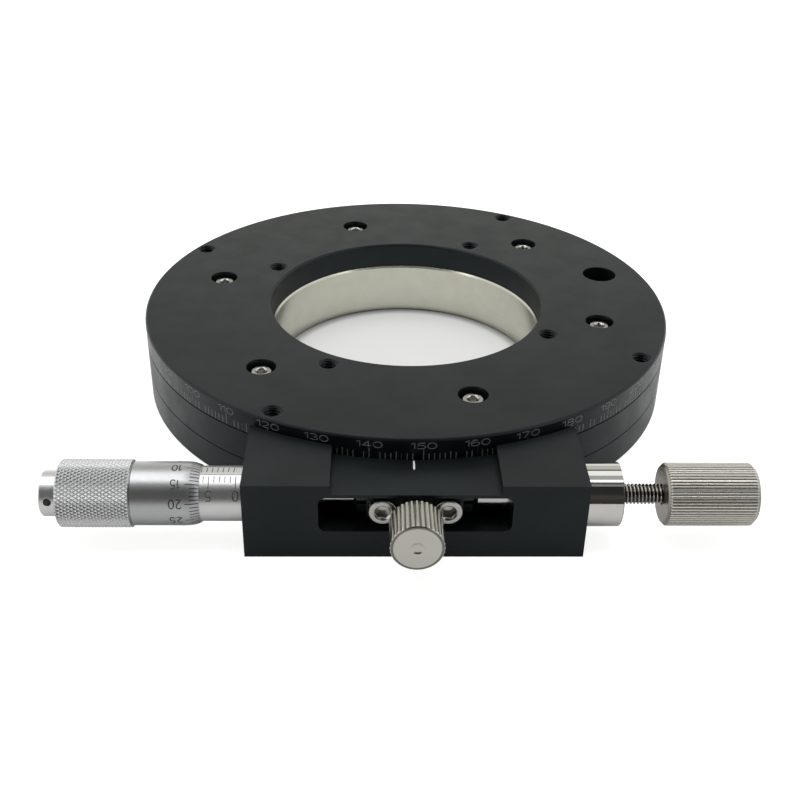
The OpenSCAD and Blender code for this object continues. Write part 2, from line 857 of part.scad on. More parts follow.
// Coil of round wire on the drive axis, from the plunger's collar to the barrel's floor
module plunger_spring() {
    steps = 24;
    sides = 8;
    wire_r = wire_d / 2;
    x0 = collar_x1 + wire_r + fixed_fit;
    x1 = barrel_floor_x - wire_r - fixed_fit;
    last = spring_turns * steps;
    points = [
        for (i = [0 : last])
            let (a = i * 360 / steps, x = x0 + (x1 - x0) * i / last)
                for (k = [0 : sides - 1])
                    let (b = k * 360 / sides, r = spring_r + wire_r * cos(b))
                        [x + wire_r * sin(b), drive_y + r * cos(a), drive_z + r * sin(a)]
    ];
    walls = [
        for (i = [0 : last - 1])
            for (k = [0 : sides - 1])
                let (n = (k + 1) % sides)
                    [i * sides + k, i * sides + n, (i + 1) * sides + n, (i + 1) * sides + k]
    ];
    first_end = [for (k = [sides - 1 : -1 : 0]) k];
    last_end = [for (k = [0 : sides - 1]) last * sides + k];
    color(steel)
        polyhedron(points, concat(walls, [first_end, last_end]));
}

module plunger() {
    color(bright)
        x_turned([
            [-tip_x, 0],
            [-tip_x, plunger_d / 2 - plunger_chamfer],
            [-tip_x + plunger_chamfer, plunger_d / 2],
            [collar_x0, plunger_d / 2],
            [collar_x0, collar_d / 2],
            [collar_x1, collar_d / 2],
            [collar_x1, 0]
        ]);
}

module lock_tip() {
    color(brass)
        x_rod(lock_tip_d, lock_tip_x, lock_tip_x1);
}

module lock_screw() {
    color(steel)
        x_rod(lock_d, lock_tip_x1 + run_fit, lock_knob_x + stud_grip);
}

// A knob with chamfered ends and a blind hole for its screw, on the drive axis
module lock_knob() {
    r = lock_knob_d / 2;
    color(nickel)
        x_turned([
            [lock_knob_x, lock_d / 2 + fixed_fit],
            [lock_knob_x, r - knob_chamfer],
            [lock_knob_x + knob_chamfer, r],
            [lock_knob_end_x - knob_end_chamfer, r],
            [lock_knob_end_x, r - knob_end_chamfer],
            [lock_knob_end_x, 0],
            [lock_knob_x + stud_grip + knob_hole_gap, 0],
            [lock_knob_x + stud_grip + knob_hole_gap, lock_d / 2 + fixed_fit]
        ]);
}

module clamp_pad() {
    color(brass)
        y_rod(clamp_d, pad_end_y, pad_y);
}

module clamp_screw() {
    color(steel)
        y_rod(clamp_d, clamp_knob_y - stud_grip, pad_end_y - run_fit);
}

module clamp_knob() {
    r = clamp_knob_d / 2;
    color(nickel)
        y_turned([
            [clamp_knob_y, clamp_d / 2 + fixed_fit],
            [clamp_knob_y, r - clamp_knob_chamfer],
            [clamp_knob_y - clamp_knob_chamfer, r],
            [clamp_knob_end_y + clamp_knob_chamfer, r],
            [clamp_knob_end_y, r - clamp_knob_chamfer],
            [clamp_knob_end_y, dimple_d / 2],
            [clamp_knob_end_y + dimple_depth, dimple_d / 2 - dimple_depth],
            [clamp_knob_end_y + dimple_depth, 0],
            [clamp_knob_y - stud_grip - knob_hole_gap, 0],
            [clamp_knob_y - stud_grip - knob_hole_gap, clamp_d / 2 + fixed_fit]
        ]);
}

base_ring();
drive_housing();
housing_screws();
bearing_outer_race();
bearing_retainer();
retainer_screws();
micrometer_sleeve();
sleeve_set_screw();
adjusting_nut();
plunger_barrel();
plunger_spring();
bearing_cage();
bearing_balls();
drive_ring();
drive_lug();
lug_screws();
contact_buttons();
table_plate();
hub_ring();
table_screws();
bearing_inner_race();
bearing_lock_ring();
clamp_pad();
clamp_screw();
clamp_knob();
spindle();
lead_screw();
thimble();
thimble_end_cap();
plunger();
lock_tip();
lock_screw();
lock_knob();
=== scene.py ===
"""Manual rotation stage: scales, knurls, threads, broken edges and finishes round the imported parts."""
import sys

import logging
import math
from contextlib import contextmanager
from dataclasses import dataclass
from enum import Enum
from typing import Callable, Iterable, Iterator, Sequence

import bmesh
import bpy
from mathutils import Matrix, Vector


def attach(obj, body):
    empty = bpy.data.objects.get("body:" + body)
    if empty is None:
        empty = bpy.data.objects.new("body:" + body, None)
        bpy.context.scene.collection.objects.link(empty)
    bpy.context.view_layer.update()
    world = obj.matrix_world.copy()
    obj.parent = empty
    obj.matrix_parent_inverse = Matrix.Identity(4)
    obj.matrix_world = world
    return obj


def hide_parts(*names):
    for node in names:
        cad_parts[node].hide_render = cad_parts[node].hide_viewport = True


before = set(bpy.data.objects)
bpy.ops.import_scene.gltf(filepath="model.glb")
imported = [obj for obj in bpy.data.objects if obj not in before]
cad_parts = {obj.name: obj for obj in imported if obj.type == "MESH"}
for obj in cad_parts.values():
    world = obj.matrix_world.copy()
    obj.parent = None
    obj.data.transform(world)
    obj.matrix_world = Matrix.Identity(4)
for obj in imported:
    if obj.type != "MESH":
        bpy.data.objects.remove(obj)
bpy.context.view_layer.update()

LOG = logging.getLogger("rotation_stage")
MM = 0.001
FLUSH = 0.004
FILL_DEPTH = 0.03
MERGE_GAP = 0.0005

Colour = tuple[float, float, float]
Profile = Sequence[tuple[float, float]]
Point = tuple[float, float]
Bend = Callable[[Vector], Vector]
Copies = list[tuple[bpy.types.Object, Bend]]


class Body(Enum):
    """The moving and fixed bodies that new pieces ride on."""

    BASE = "base"
    DRIVE = "drive"
    TABLE = "table"
    THIMBLE = "thimble"
    CLAMP_SCREW = "clamp_screw"
    LOCK_SCREW = "lock_screw"


class Slot(Enum):
    """The named finishes of the part."""

    BLACK = "black_anodised"
    NICKEL = "nickel_plate"
    SATIN = "satin_chrome"
    STEEL = "hardened_steel"
    STAINLESS = "stainless_steel"


@dataclass(frozen=True)
class Box:
    """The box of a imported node, in millimetres."""

    low: tuple[float, ...]
    high: tuple[float, ...]

    @classmethod
    def of(cls, node: str) -> "Box":
        """Measures a node, to a hundredth of a millimetre.

        Args:
            node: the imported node's name.

        Returns:
            The node's box.
        """
        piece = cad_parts[node]
        places = [piece.matrix_world @ vertex.co / MM for vertex in piece.data.vertices]
        return cls(
            tuple(round(min(p[i] for p in places), 2) for i in range(3)),
            tuple(round(max(p[i] for p in places), 2) for i in range(3)),
        )

    def middle(self, axis: int) -> float:
        """Gives the middle of the box along an axis."""
        return round((self.low[axis] + self.high[axis]) / 2, 2)

    def radius(self, axis: int) -> float:
        """Gives half of the box's width along an axis."""
        return round((self.high[axis] - self.low[axis]) / 2, 2)


@dataclass(frozen=True)
class Axle:
    """A line that a turned piece is round, along one of the three axes, in millimetres."""

    centre: tuple[float, float, float]
    along: tuple[int, int, int]
    turn: tuple[float, float, float]

    def point(self, station: float) -> Vector:
        """Gives the point on the line at a station along it, in metres."""
        return (Vector(self.centre) + Vector(self.along) * station) * MM

    def step(self, distance: float) -> Vector:
        """Gives a step along the line, in metres."""
        return Vector(self.along) * distance * MM

    def widen(self, factor: float) -> tuple[float, float, float]:
        """Gives the resize that widens a ring about the line and keeps its station."""
        return tuple(1.0 if a else factor for a in self.along)

    def station(self, place: Vector) -> float:
        """Gives how far along the line a place is, in millimetres."""
        return (place / MM - Vector(self.centre)).dot(Vector(self.along))

    def round(self, station: float, radius: float, elevation: float) -> Vector:
        """Gives a place round a line along X, by its angle up from the front.

        Args:
            station: the place along the line, in metres.
            radius: the distance from it, in metres.
            elevation: the angle up from the front, in radians.

        Returns:
            The place in metres.
        """
        middle = Vector((station, self.centre[1] * MM, self.centre[2] * MM))
        return middle + radius * Vector((0, -math.cos(elevation), math.sin(elevation)))

    def polar(self, place: Vector) -> tuple[float, float]:
        """Finds a place's distance from the line and its angle round it.

        Args:
            place: a point in metres.

        Returns:
            The radius in millimetres and the angle in radians.
        """
        offset = place / MM - Vector(self.centre)
        flat = [offset[i] for i in range(3) if not self.along[i]]
        return math.hypot(*flat), math.atan2(flat[1], flat[0])


SLEEVE_BOX = Box.of("micrometer_sleeve")
THIMBLE_BOX = Box.of("thimble")
ROD_BOX = Box.of("lock_screw")
KNOB_BOX = Box.of("lock_knob")
CLAMP_BOX = Box.of("clamp_knob")
LUG_SCREW_BOX = Box.of("lug_screws")
CAP_SCREW_BOX = Box.of("table_screws")
PLATE_BOX = Box.of("table_plate")

STAGE_AXLE = Axle((0, 0, 0), (0, 0, 1), (0, 0, 0))
DRIVE_AXLE = Axle((0, THIMBLE_BOX.middle(1), THIMBLE_BOX.middle(2)), (1, 0, 0), (0, math.pi / 2, 0))
CLAMP_AXLE = Axle((CLAMP_BOX.middle(0), 0, CLAMP_BOX.middle(2)), (0, 1, 0), (-math.pi / 2, 0, 0))


# ---------------------------------------------------------------- modelling


def take_alone(piece: bpy.types.Object) -> None:
    """Selects one piece alone, and makes it the active one.

    Args:
        piece: the piece.
    """
    bpy.ops.object.select_all(action="DESELECT")
    piece.select_set(True)
    bpy.context.view_layer.objects.active = piece


@contextmanager
def edit_mode(piece: bpy.types.Object) -> Iterator[None]:
    """Opens one piece alone in edit mode, by vertices, and leaves edit mode afterwards.

    Args:
        piece: the piece.

    Yields:
        Nothing, while edit mode is open.
    """
    take_alone(piece)
    bpy.ops.object.mode_set(mode="EDIT")
    bpy.context.tool_settings.mesh_select_mode = (True, False, False)
    yield
    bpy.ops.object.mode_set(mode="OBJECT")


def choose(test: Callable[[Vector], bool]) -> None:
    """Selects the vertices of the piece in edit mode that pass a test, and no others.

    Args:
        test: says of a vertex's place whether it is taken.
    """
    mesh = bpy.context.edit_object.data
    work = bmesh.from_edit_mesh(mesh)
    for part in (work.faces, work.edges, work.verts):
        for item in part:
            item.select = False
    for vertex in work.verts:
        if test(vertex.co):
            vertex.select = True
    work.select_flush(True)
    bmesh.update_edit_mesh(mesh)


def named_last(name: str) -> bpy.types.Object:
    """Names the piece just added, and settles its place into its mesh.

    Args:
        name: its name.

    Returns:
        The piece.
    """
    piece = bpy.context.active_object
    piece.name = name
    piece.data.name = name
    bpy.ops.object.transform_apply(location=True, rotation=True, scale=True)
    return piece


def tidy_shell() -> None:
    """Merges doubles and turns the faces outwards, in edit mode."""
    bpy.ops.mesh.select_all(action="SELECT")
    bpy.ops.mesh.remove_doubles(threshold=MERGE_GAP * MM)
    bpy.ops.mesh.normals_make_consistent(inside=False)


def turned(name: str, axle: Axle, profile: Profile, around: int, hollow: bool = False) -> bpy.types.Object:
    """Turns a piece: a circle is extruded from station to station and resized at each.

    Args:
        name: the piece's name.
        axle: the line that it is round.
        profile: stations along the line and the radius at each, in millimetres.
        around: the number of vertices in each ring.
        hollow: whether the profile closes on itself, or else has its two ends capped.

    Returns:
        The closed piece.
    """
    station, radius = profile[0]
    bpy.ops.object.select_all(action="DESELECT")
    bpy.ops.mesh.primitive_circle_add(
        vertices=around,
        radius=radius * MM,
        fill_type="NOTHING",
        location=axle.point(station),
        rotation=axle.turn,
    )
    piece = named_last(name)
    with edit_mode(piece):
        bpy.ops.mesh.select_all(action="SELECT")
        for next_station, next_radius in list(profile[1:]) + ([profile[0]] if hollow else []):
            bpy.ops.mesh.extrude_region()
            bpy.ops.transform.translate(value=axle.step(next_station - station))
            bpy.ops.transform.resize(
                value=axle.widen(next_radius / radius), center_override=axle.point(next_station)
            )
            station, radius = next_station, next_radius
        if not hollow:
            for end_station, end_radius in (profile[0], profile[-1]):
                choose(
                    lambda co: abs(axle.station(co) - end_station) < 0.001
                    and abs(axle.polar(co)[0] - end_radius) < 0.001
                )
                bpy.ops.mesh.edge_face_add()
        tidy_shell()
    return piece


def apply_modifier(piece: bpy.types.Object, kind: str, **settings: object) -> None:
    """Adds a modifier to a piece, sets it and applies it.

    Args:
        piece: the piece that is changed.
        kind: Blender's name for the modifier.
        settings: the modifier's own values.
    """
    modifier = piece.modifiers.new(kind.lower(), kind)
    for key, value in settings.items():
        setattr(modifier, key, value)
    take_alone(piece)
    bpy.ops.object.modifier_apply(modifier=modifier.name)


def smooth(piece: bpy.types.Object, degrees: float) -> None:
    """Shades a piece smooth, except across edges sharper than an angle."""
    take_alone(piece)
    bpy.ops.object.shade_smooth_by_angle(angle=math.radians(degrees))


def break_edges(piece: bpy.types.Object, width: float, degrees: float = 35, segments: int = 2) -> None:
    """Rounds a piece's sharp edges, and evens its shading out beside them.

    Args:
        piece: the piece that is changed.
        width: the width of the round in millimetres.
        degrees: the angle past which an edge counts as sharp.
        segments: the number of faces across the round.
    """
    apply_modifier(
        piece,
        "BEVEL",
        width=width * MM,
        segments=segments,
        limit_method="ANGLE",
        angle_limit=math.radians(degrees),
    )
    smooth(piece, 50)
    apply_modifier(piece, "WEIGHTED_NORMAL", keep_sharp=True)


def merged_copy(node: str, name: str) -> bpy.types.Object:
    """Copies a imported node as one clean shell: its triangles merged, its flat faces joined.

    Args:
        node: the node's name.
        name: the new piece's name.

    Returns:
        The copy, with no material and no parent.
    """
    piece = bpy.data.objects.new(name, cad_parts[node].data.copy())
    piece.data.name = name
    bpy.context.scene.collection.objects.link(piece)
    piece.data.materials.clear()
    flat = math.radians(0.4)
    with edit_mode(piece):
        bpy.ops.mesh.customdata_custom_splitnormals_clear()
        bpy.ops.mesh.select_all(action="SELECT")
        bpy.ops.mesh.remove_doubles(threshold=MERGE_GAP * MM)
        bpy.ops.mesh.dissolve_limited(angle_limit=flat, delimit=set())
    return piece


def cut_away(piece: bpy.types.Object, cutter: bpy.types.Object) -> None:
    """Cuts one piece's shape out of another, and deletes the cutter."""
    apply_modifier(piece, "BOOLEAN", operation="DIFFERENCE", solver="EXACT", object=cutter)
    bpy.data.objects.remove(cutter)


def laid(name: str, copies: Iterable[tuple[bpy.types.Object, Bend]]) -> bpy.types.Object:
    """Copies flat models, each bent to its own place, and joins the copies in one piece.

    Args:
        name: the joined piece's name.
        copies: for each copy, its model and what takes a vertex of the model to its place.

    Returns:
        The joined piece.
    """
    work = bmesh.new()
    for model, bend in copies:
        start = len(work.verts)
        work.from_mesh(model.data)
        work.verts.ensure_lookup_table()
        for vertex in work.verts[start:]:
            vertex.co = bend(vertex.co)
    mesh = bpy.data.meshes.new(name)
    work.to_mesh(mesh)
    work.free()
    piece = bpy.data.objects.new(name, mesh)
    bpy.context.scene.collection.objects.link(piece)
    return piece


def discard(models: Iterable[bpy.types.Object]) -> None:
    """Deletes models that have been copied."""
    for model in models:
        bpy.data.objects.remove(model)


def stroke(length: float, width: float, cuts: int = 1) -> bpy.types.Object:
    """Models one engraved stroke, flat in XY and upwards from the origin, with eased ends.

    Args:
        length: the stroke's length in millimetres.
        width: the stroke's width in millimetres.
        cuts: the number of faces along it.

    Returns:
        The stroke, its top face at height zero.
    """
    bpy.ops.object.select_all(action="DESELECT")
    bpy.ops.mesh.primitive_grid_add(
        x_subdivisions=1, y_subdivisions=cuts + 2, size=1, location=(0, length / 2 * MM, -FILL_DEPTH * MM)
    )
    bpy.context.active_object.scale = (width * MM, length * MM, 1)
    piece = named_last("stroke")
    ease = width / 2
    end_share = 0.45
    with edit_mode(piece):
        rows = sorted({round(v.co.y / MM, 5) for v in piece.data.vertices})
        for row, target in ((rows[1], ease), (rows[-2], length - ease)):
            choose(lambda co: abs(co.y / MM - row) < 0.0001)
            bpy.ops.transform.translate(value=(0, (target - row) * MM, 0))
        choose(lambda co: min(co.y, length * MM - co.y) < 0.0001 * MM)
        bpy.ops.transform.resize(value=(end_share, 1, 1), center_override=(0, 0, 0))
        bpy.ops.mesh.select_all(action="SELECT")
        bpy.ops.mesh.extrude_region()
        bpy.ops.transform.translate(value=(0, 0, FILL_DEPTH * MM))
        tidy_shell()
    return piece


def arc(middle: Point, reach: Point, first: float, last: float) -> list[Point]:
    """Gives points along an arc of an ellipse, in a digit's unit cell.

    Args:
        middle: the ellipse's centre.
        reach: its half width and half height.
        first: the angle where the arc starts, in degrees.
        last: the angle where it ends.

    Returns:
        The points in order.
    """
    degrees_apart = 24
    steps = max(2, round(abs(last - first) / degrees_apart))
    angles = [math.radians(first + (last - first) * i / steps) for i in range(steps + 1)]
    return [(middle[0] + reach[0] * math.cos(a), middle[1] + reach[1] * math.sin(a)) for a in angles]


SIX = arc((0.52, 0.5), (0.5, 0.5), 60, 180) + arc((0.52, 0.31), (0.48, 0.31), 180, -180)
DIGITS: dict[str, list[Point]] = {
    "0": arc((0.5, 0.5), (0.5, 0.5), 90, 450),
    "1": [(0.15, 0.78), (0.55, 1), (0.55, 0)],
    "2": arc((0.5, 0.71), (0.46, 0.29), 165, -35) + [(0.02, 0), (1, 0)],
    "3": arc((0.48, 0.75), (0.42, 0.25), 150, -90) + arc((0.48, 0.25), (0.5, 0.25), 90, -150),
    "4": [(1, 0.27), (0, 0.27), (0.72, 1), (0.72, 0)],
    "5": [(0.92, 1), (0.2, 1), (0.09, 0.53)] + arc((0.47, 0.32), (0.5, 0.32), 130, -150),
    "6": SIX,
    "7": [(0, 1), (1, 1), (0.36, 0)],
    "8": arc((0.5, 0.76), (0.42, 0.24), -90, 270) + arc((0.5, 0.26), (0.5, 0.26), 90, 450),
    "9": [(1 - x, 1 - y) for x, y in SIX],
}


@dataclass
class Lettering:
    """Numbers cut with a round cutter: each digit is modelled once and copied where it is wanted."""

    height: float
    width: float
    stroke_w: float
    gap: float

    def path(self, digit: str) -> list[Vector]:
        """Gives the middle of a digit's stroke, with its left and its foot at the origin.

        Args:
            digit: one digit.

        Returns:
            Places in metres, close enough together to bend.
        """
        shortest, longest = 0.02 * MM, 0.5 * MM
        width, height = self.width - self.stroke_w, self.height - self.stroke_w
        left = min(x for x, _ in DIGITS[digit])
        corners = [Vector(((x - left) * width, y * height, 0)) * MM for x, y in DIGITS[digit]]
        places = [corners[0]]
        for corner in corners[1:]:
            start = places[-1]
            if (corner - start).length < shortest:
                continue
            steps = math.ceil((corner - start).length / longest)
            places += [start.lerp(corner, (i + 1) / steps) for i in range(steps)]
        return places

    def room(self, digit: str) -> float:
        """Gives the width that a digit takes, in millimetres."""
        return max(place.x for place in self.path(digit)) / MM + self.stroke_w

    def model(self, digit: str) -> bpy.types.Object:
        """Models a digit: a point is extruded along its path, and given the cutter's width.

        Args:
            digit: one digit.

        Returns:
            The digit, flat in XY, centred on the surface, its left edge and its middle at the origin.
        """
        places = self.path(digit)
        bpy.ops.object.select_all(action="DESELECT")
        bpy.ops.mesh.primitive_plane_add(size=self.stroke_w * MM, location=(0, 0, 0))
        piece = named_last("digit_" + digit)
        with edit_mode(piece):
            bpy.ops.mesh.select_all(action="SELECT")
            bpy.ops.mesh.merge(type="CENTER")
            bpy.ops.transform.translate(value=places[0])
            for start, end in zip(places, places[1:]):
                bpy.ops.mesh.extrude_verts_indiv()
                bpy.ops.transform.translate(value=end - start)
        bpy.ops.object.convert(target="CURVE")
        curve = bpy.context.active_object.data
        curve.dimensions = "3D"
        curve.bevel_depth = self.stroke_w / 2 * MM
        curve.bevel_resolution = 0
        curve.use_fill_caps = True
        bpy.ops.object.convert(target="MESH")
        piece = bpy.context.active_object
        piece.scale = (1, 1, FILL_DEPTH / self.stroke_w)
        piece.location = (self.stroke_w / 2 * MM, (self.stroke_w - self.height) / 2 * MM, 0)
        piece = named_last("digit_" + digit)
        with edit_mode(piece):
            tidy_shell()
        return piece

    def number(self, text: str, models: dict[str, bpy.types.Object], bend: Bend) -> Copies:
        """Sets a number's digits side by side, centred on the place where they are bent to.

        Args:
            text: the digits.
            models: the model of each digit.
            bend: what bends the flat number onto its surface.

        Returns:
            Each digit's model and what takes it to its place.
        """
        rooms = [self.room(digit) for digit in text]
        left = -(sum(rooms) + self.gap * (len(text) - 1)) / 2
        copies = []
        for digit, room in zip(text, rooms):
            shift = Vector((left * MM, 0, 0))
            copies.append((models[digit], lambda co, shift=shift: bend(co + shift)))
            left += room + self.gap
        return copies

    def lay(self, name: str, numbers: Sequence[tuple[str, Bend]]) -> bpy.types.Object:
        """Models the digits that are wanted, and lays every number at its place.

        Args:
            name: the piece's name.
            numbers: each number and what bends it onto its surface.

        Returns:
            The numbers as one piece.
        """
        wanted = sorted({digit for text, _ in numbers for digit in text})
        models = {digit: self.model(digit) for digit in wanted}
        copies = [copy for text, bend in numbers for copy in self.number(text, models, bend)]
        piece = laid(name, copies)
        discard(models.values())
        return piece


def thread_depth(axle: Axle, place: Vector, pitch: float, ends: tuple[float, float]) -> float:
    """Gives how deep a screw thread is at a place: 0 at its crest, 1 at its root.

    Args:
        axle: the line that the thread runs round.
        place: a point on the thread, in metres.
        pitch: the thread's pitch in millimetres.
        ends: the stations where the thread runs out.

    Returns:
        The share of the full depth.
    """
    steepness, crest_flat, fade = 2.6, 0.18, 0.6
    station = axle.station(place)
    _, angle = axle.polar(place)
    phase = (station / pitch - angle / (2 * math.pi)) % 1.0
    groove = 1 - min(1.0, max(0.0, abs(phase - 0.5) * steepness - crest_flat))
    runout = min(station - ends[0], ends[1] - station) / (fade * pitch)
    return groove * min(1.0, max(0.0, runout))


# ---------------------------------------------------------------- finishes


class Graph:
    """A material's nodes, added and linked with short calls."""

    def __init__(self, name: str) -> None:
        """Starts a material that has only its surface shader.

        Args:
            name: the material's name.
        """
        self.material = bpy.data.materials.new(name)
        self.material.use_nodes = True
        self.tree = self.material.node_tree
        self.shader = next(n for n in self.tree.nodes if n.type == "BSDF_PRINCIPLED")
        self.place = self.add("TexCoord").outputs["Object"]

    def plug(self, node: bpy.types.Node, socket: str | int, value: object) -> None:
        """Sets a node's input, or links it where the value is another node's output.

        Args:
            node: the node.
            socket: the input's name or number.
            value: a number, a colour, a vector or an output.
        """
        target = node.inputs[socket]
        if isinstance(value, bpy.types.NodeSocket):
            self.tree.links.new(value, target)
        elif target.type == "RGBA":
            target.default_value = (*value[:3], 1.0)
        else:
            target.default_value = value

    def add(self, kind: str, settings: dict[str, object] | None = None, **inputs: object) -> bpy.types.Node:
        """Adds a node.

        Args:
            kind: the node's type, without its prefix.
            settings: the node's own options.
            inputs: its inputs by name, with _ for a space.

        Returns:
            The node.
        """
        node = self.tree.nodes.new("ShaderNode" + kind)
        for key, value in (settings or {}).items():
            setattr(node, key, value)
        for key, value in inputs.items():
            self.plug(node, key.replace("_", " "), value)
        return node

    def noise(
        self, scale: float, detail: float = 2.0, stretch: Sequence[float] = (1, 1, 1)
    ) -> bpy.types.NodeSocket:
        """Adds soft noise with its features 1/scale metres across, stretched by axis."""
        spread = self.add("Mapping", Vector=self.place, Scale=tuple(scale * s for s in stretch))
        return self.add("TexNoise", Vector=spread.outputs[0], Scale=1.0, Detail=detail).outputs[0]

    def span(
        self, value: bpy.types.NodeSocket, source: tuple[float, float], target: tuple[float, float]
    ) -> bpy.types.NodeSocket:
        """Takes one range of a value smoothly to another range.

        Args:
            value: the value, or the socket that gives it.
            source: the ends of the range that it comes in.
            target: what those ends become.

        Returns:
            The socket that holds the result.
        """
        node = self.add(
            "MapRange",
            {"interpolation_type": "SMOOTHSTEP"},
            Value=value,
            From_Min=source[0],
            From_Max=source[1],
            To_Min=target[0],
            To_Max=target[1],
        )
        return node.outputs[0]

    def blend(self, share: bpy.types.NodeSocket, first: object, second: object) -> bpy.types.NodeSocket:
        """Blends two colours by a share.

        Args:
            share: the second colour's share.
            first: the colour at a share of 0.
            second: the colour at a share of 1.

        Returns:
            The socket that holds the colour.
        """
        node = self.add("Mix", {"data_type": "RGBA"})
        self.plug(node, 0, share)
        self.plug(node, 6, first)
        self.plug(node, 7, second)
        return node.outputs[2]

    def reckon(self, operation: str, first: object, second: object) -> bpy.types.NodeSocket:
        """Takes two numbers through one of the Math node's operations.

        Args:
            operation: the operation's name in Blender.
            first: its first number, or the socket that gives it.
            second: its second number, or the socket that gives it.

        Returns:
            The socket that holds the result.
        """
        node = self.add("Math", {"operation": operation})
        self.plug(node, 0, first)
        self.plug(node, 1, second)
        return node.outputs[0]

    def multiply(self, first: object, second: object) -> bpy.types.NodeSocket:
        """Multiplies two numbers."""
        return self.reckon("MULTIPLY", first, second)

    def sum(self, first: object, second: object) -> bpy.types.NodeSocket:
        """Adds two numbers."""
        return self.reckon("ADD", first, second)

    def between(
        self, value: bpy.types.NodeSocket, edges: tuple[float, float, float, float]
    ) -> bpy.types.NodeSocket:
        """Gives 1 between two soft edges of a value, and 0 outside them."""
        return self.multiply(self.span(value, edges[:2], (0, 1)), self.span(value, edges[2:], (1, 0)))

    def relief(self, height: bpy.types.NodeSocket, strength: float, depth: float) -> None:
        """Gives the surface a relief, depth being in millimetres."""
        bump = self.add("Bump", Height=height, Strength=strength, Distance=depth * MM)
        self.plug(self.shader, "Normal", bump.outputs[0])

    def surface(self, **inputs: object) -> None:
        """Sets or links the surface shader's inputs."""
        for key, value in inputs.items():
            self.plug(self.shader, key.replace("_", " "), value)


class Grain(Enum):
    """Which way a metal's fine lines run: round an axis, or no way in particular."""

    ROUND_X = (1.0, 0.006, 0.006)
    ROUND_Y = (0.006, 1.0, 0.006)
    ROUND_Z = (0.006, 0.006, 1.0)
    EVEN = (1.0, 1.0, 1.0)


@dataclass(frozen=True)
class Anodised:
    """Matt anodised aluminium: near black, finely blasted, with faint patches and dust."""

    name: str
    deep: Colour = (0.0029, 0.0039, 0.0042)
    pale: Colour = (0.0060, 0.0076, 0.0080)
    gloss: tuple[float, float] = (0.35, 0.42)
    sheen: float = 0.36
    tint: Colour = (0.80, 0.93, 1.0)
    specks: float = 0.4
    speck_colour: Colour = (0.13, 0.14, 0.14)

    def material(self) -> bpy.types.Material:
        """Builds the finish's material, once.

        Returns:
            The material.
        """
        found = bpy.data.materials.get(self.name)
        if found:
            return found
        graph = Graph(self.name)
        patches = graph.noise(70, 4)
        clouds = graph.noise(160, 5)
        grain = graph.noise(9000, 2)
        body = graph.blend(graph.span(patches, (0.35, 0.65), (0, 1)), self.deep, self.pale)
        cells = graph.add("TexVoronoi", Vector=graph.place, Scale=230.0)
        near = graph.span(cells.outputs["Distance"], (0.035, 0.02), (0, 1))
        lot = graph.add("SeparateColor", Color=cells.outputs["Color"]).outputs[0]
        rare = graph.span(lot, (0.86, 0.9), (0, 1))
        dust = graph.multiply(graph.multiply(near, rare), self.specks)
        graph.surface(
            Base_Color=graph.blend(dust, body, self.speck_colour),
            Roughness=graph.span(clouds, (0.3, 0.7), self.gloss),
            Specular_IOR_Level=self.sheen,
            Specular_Tint=self.tint,
        )
        graph.relief(grain, 0.10, 0.02)
        return graph.material


@dataclass(frozen=True)
class Metal:
    """Bare or plated metal with fine turning lines and a slightly uneven tone."""

    name: str
    colour: Colour
    tone: Colour
    gloss: tuple[float, float]
    grain: Grain = Grain.EVEN
    lines: float = 6000
    relief: float = 0.06

    def graph(self) -> Graph:
        """Builds the finish's nodes.

        Returns:
            The nodes.
        """
        graph = Graph(self.name)
        lines = graph.noise(self.lines, 3, self.grain.value)
        patches = graph.noise(300, 4)
        graph.surface(
            Base_Color=graph.blend(graph.span(patches, (0.3, 0.7), (0, 1)), self.colour, self.tone),
            Roughness=graph.span(lines, (0.3, 0.7), self.gloss),
            Metallic=1.0,
        )
        graph.relief(lines, self.relief, 0.01)
        return graph

    def material(self) -> bpy.types.Material:
        """Builds the finish's material, once."""
        return bpy.data.materials.get(self.name) or self.graph().material


@dataclass(frozen=True)
class KnurledMetal(Metal):
    """Metal with painted shade that darkens it below its crests, and none inside the radius of its bare face.
    """

    axle: Axle = DRIVE_AXLE
    root: float = 0.0
    crest: float = 1.0
    face: float = 0.0
    face_edge: float = 0.1
    # Colour of the painted shade in the grooves, and how evenly it covers them.
    film: Colour = (0.10, 0.09, 0.08)
    film_cover: tuple[float, float] = (0.92, 1.0)

    def graph(self) -> Graph:
        """Builds the finish's nodes, and paints shade into the grooves, darker the deeper they go.

        Returns:
            The nodes.
        """
        graph = Metal.graph(self)
        across = tuple(0.0 if a else 1.0 for a in self.axle.along)
        centre = tuple(-c * MM * k for c, k in zip(self.axle.centre, across))
        flat = graph.add("Mapping", Vector=graph.place, Scale=across, Location=centre)
        reach = graph.add("VectorMath", {"operation": "LENGTH"})
        graph.plug(reach, 0, flat.outputs[0])
        # Painted shade: the colour darkens from the crest radius down to the root radius, and none on the
        # bare face.
        depth = graph.span(reach.outputs["Value"], (self.crest * MM, self.root * MM), (0, 1))
        face_band = ((self.face - self.face_edge) * MM, self.face * MM)
        outer = graph.span(reach.outputs["Value"], face_band, (0, 1))
        depth = graph.multiply(depth, outer)
        uneven = graph.span(graph.noise(900, 3), (0.25, 0.75), self.film_cover)
        plain = graph.shader.inputs["Base Color"].links[0].from_socket
        graph.surface(Base_Color=graph.blend(graph.multiply(depth, uneven), plain, self.film))
        return graph


@dataclass(frozen=True)
class Filling:
    """Paint that fills engraved strokes, a little worn."""

    name: str
    colour: Colour
    worn: Colour

    def material(self) -> bpy.types.Material:
        """Builds the finish's material, once.

        Returns:
            The material.
        """
        found = bpy.data.materials.get(self.name)
        if found:
            return found
        graph = Graph(self.name)
        wear = graph.span(graph.noise(2500, 3), (0.45, 0.75), (0, 1))
        graph.surface(
            Base_Color=graph.blend(wear, self.colour, self.worn),
            Roughness=graph.span(wear, (0, 1), (0.5, 0.7)),
            Specular_IOR_Level=0.3,
        )
        return graph.material


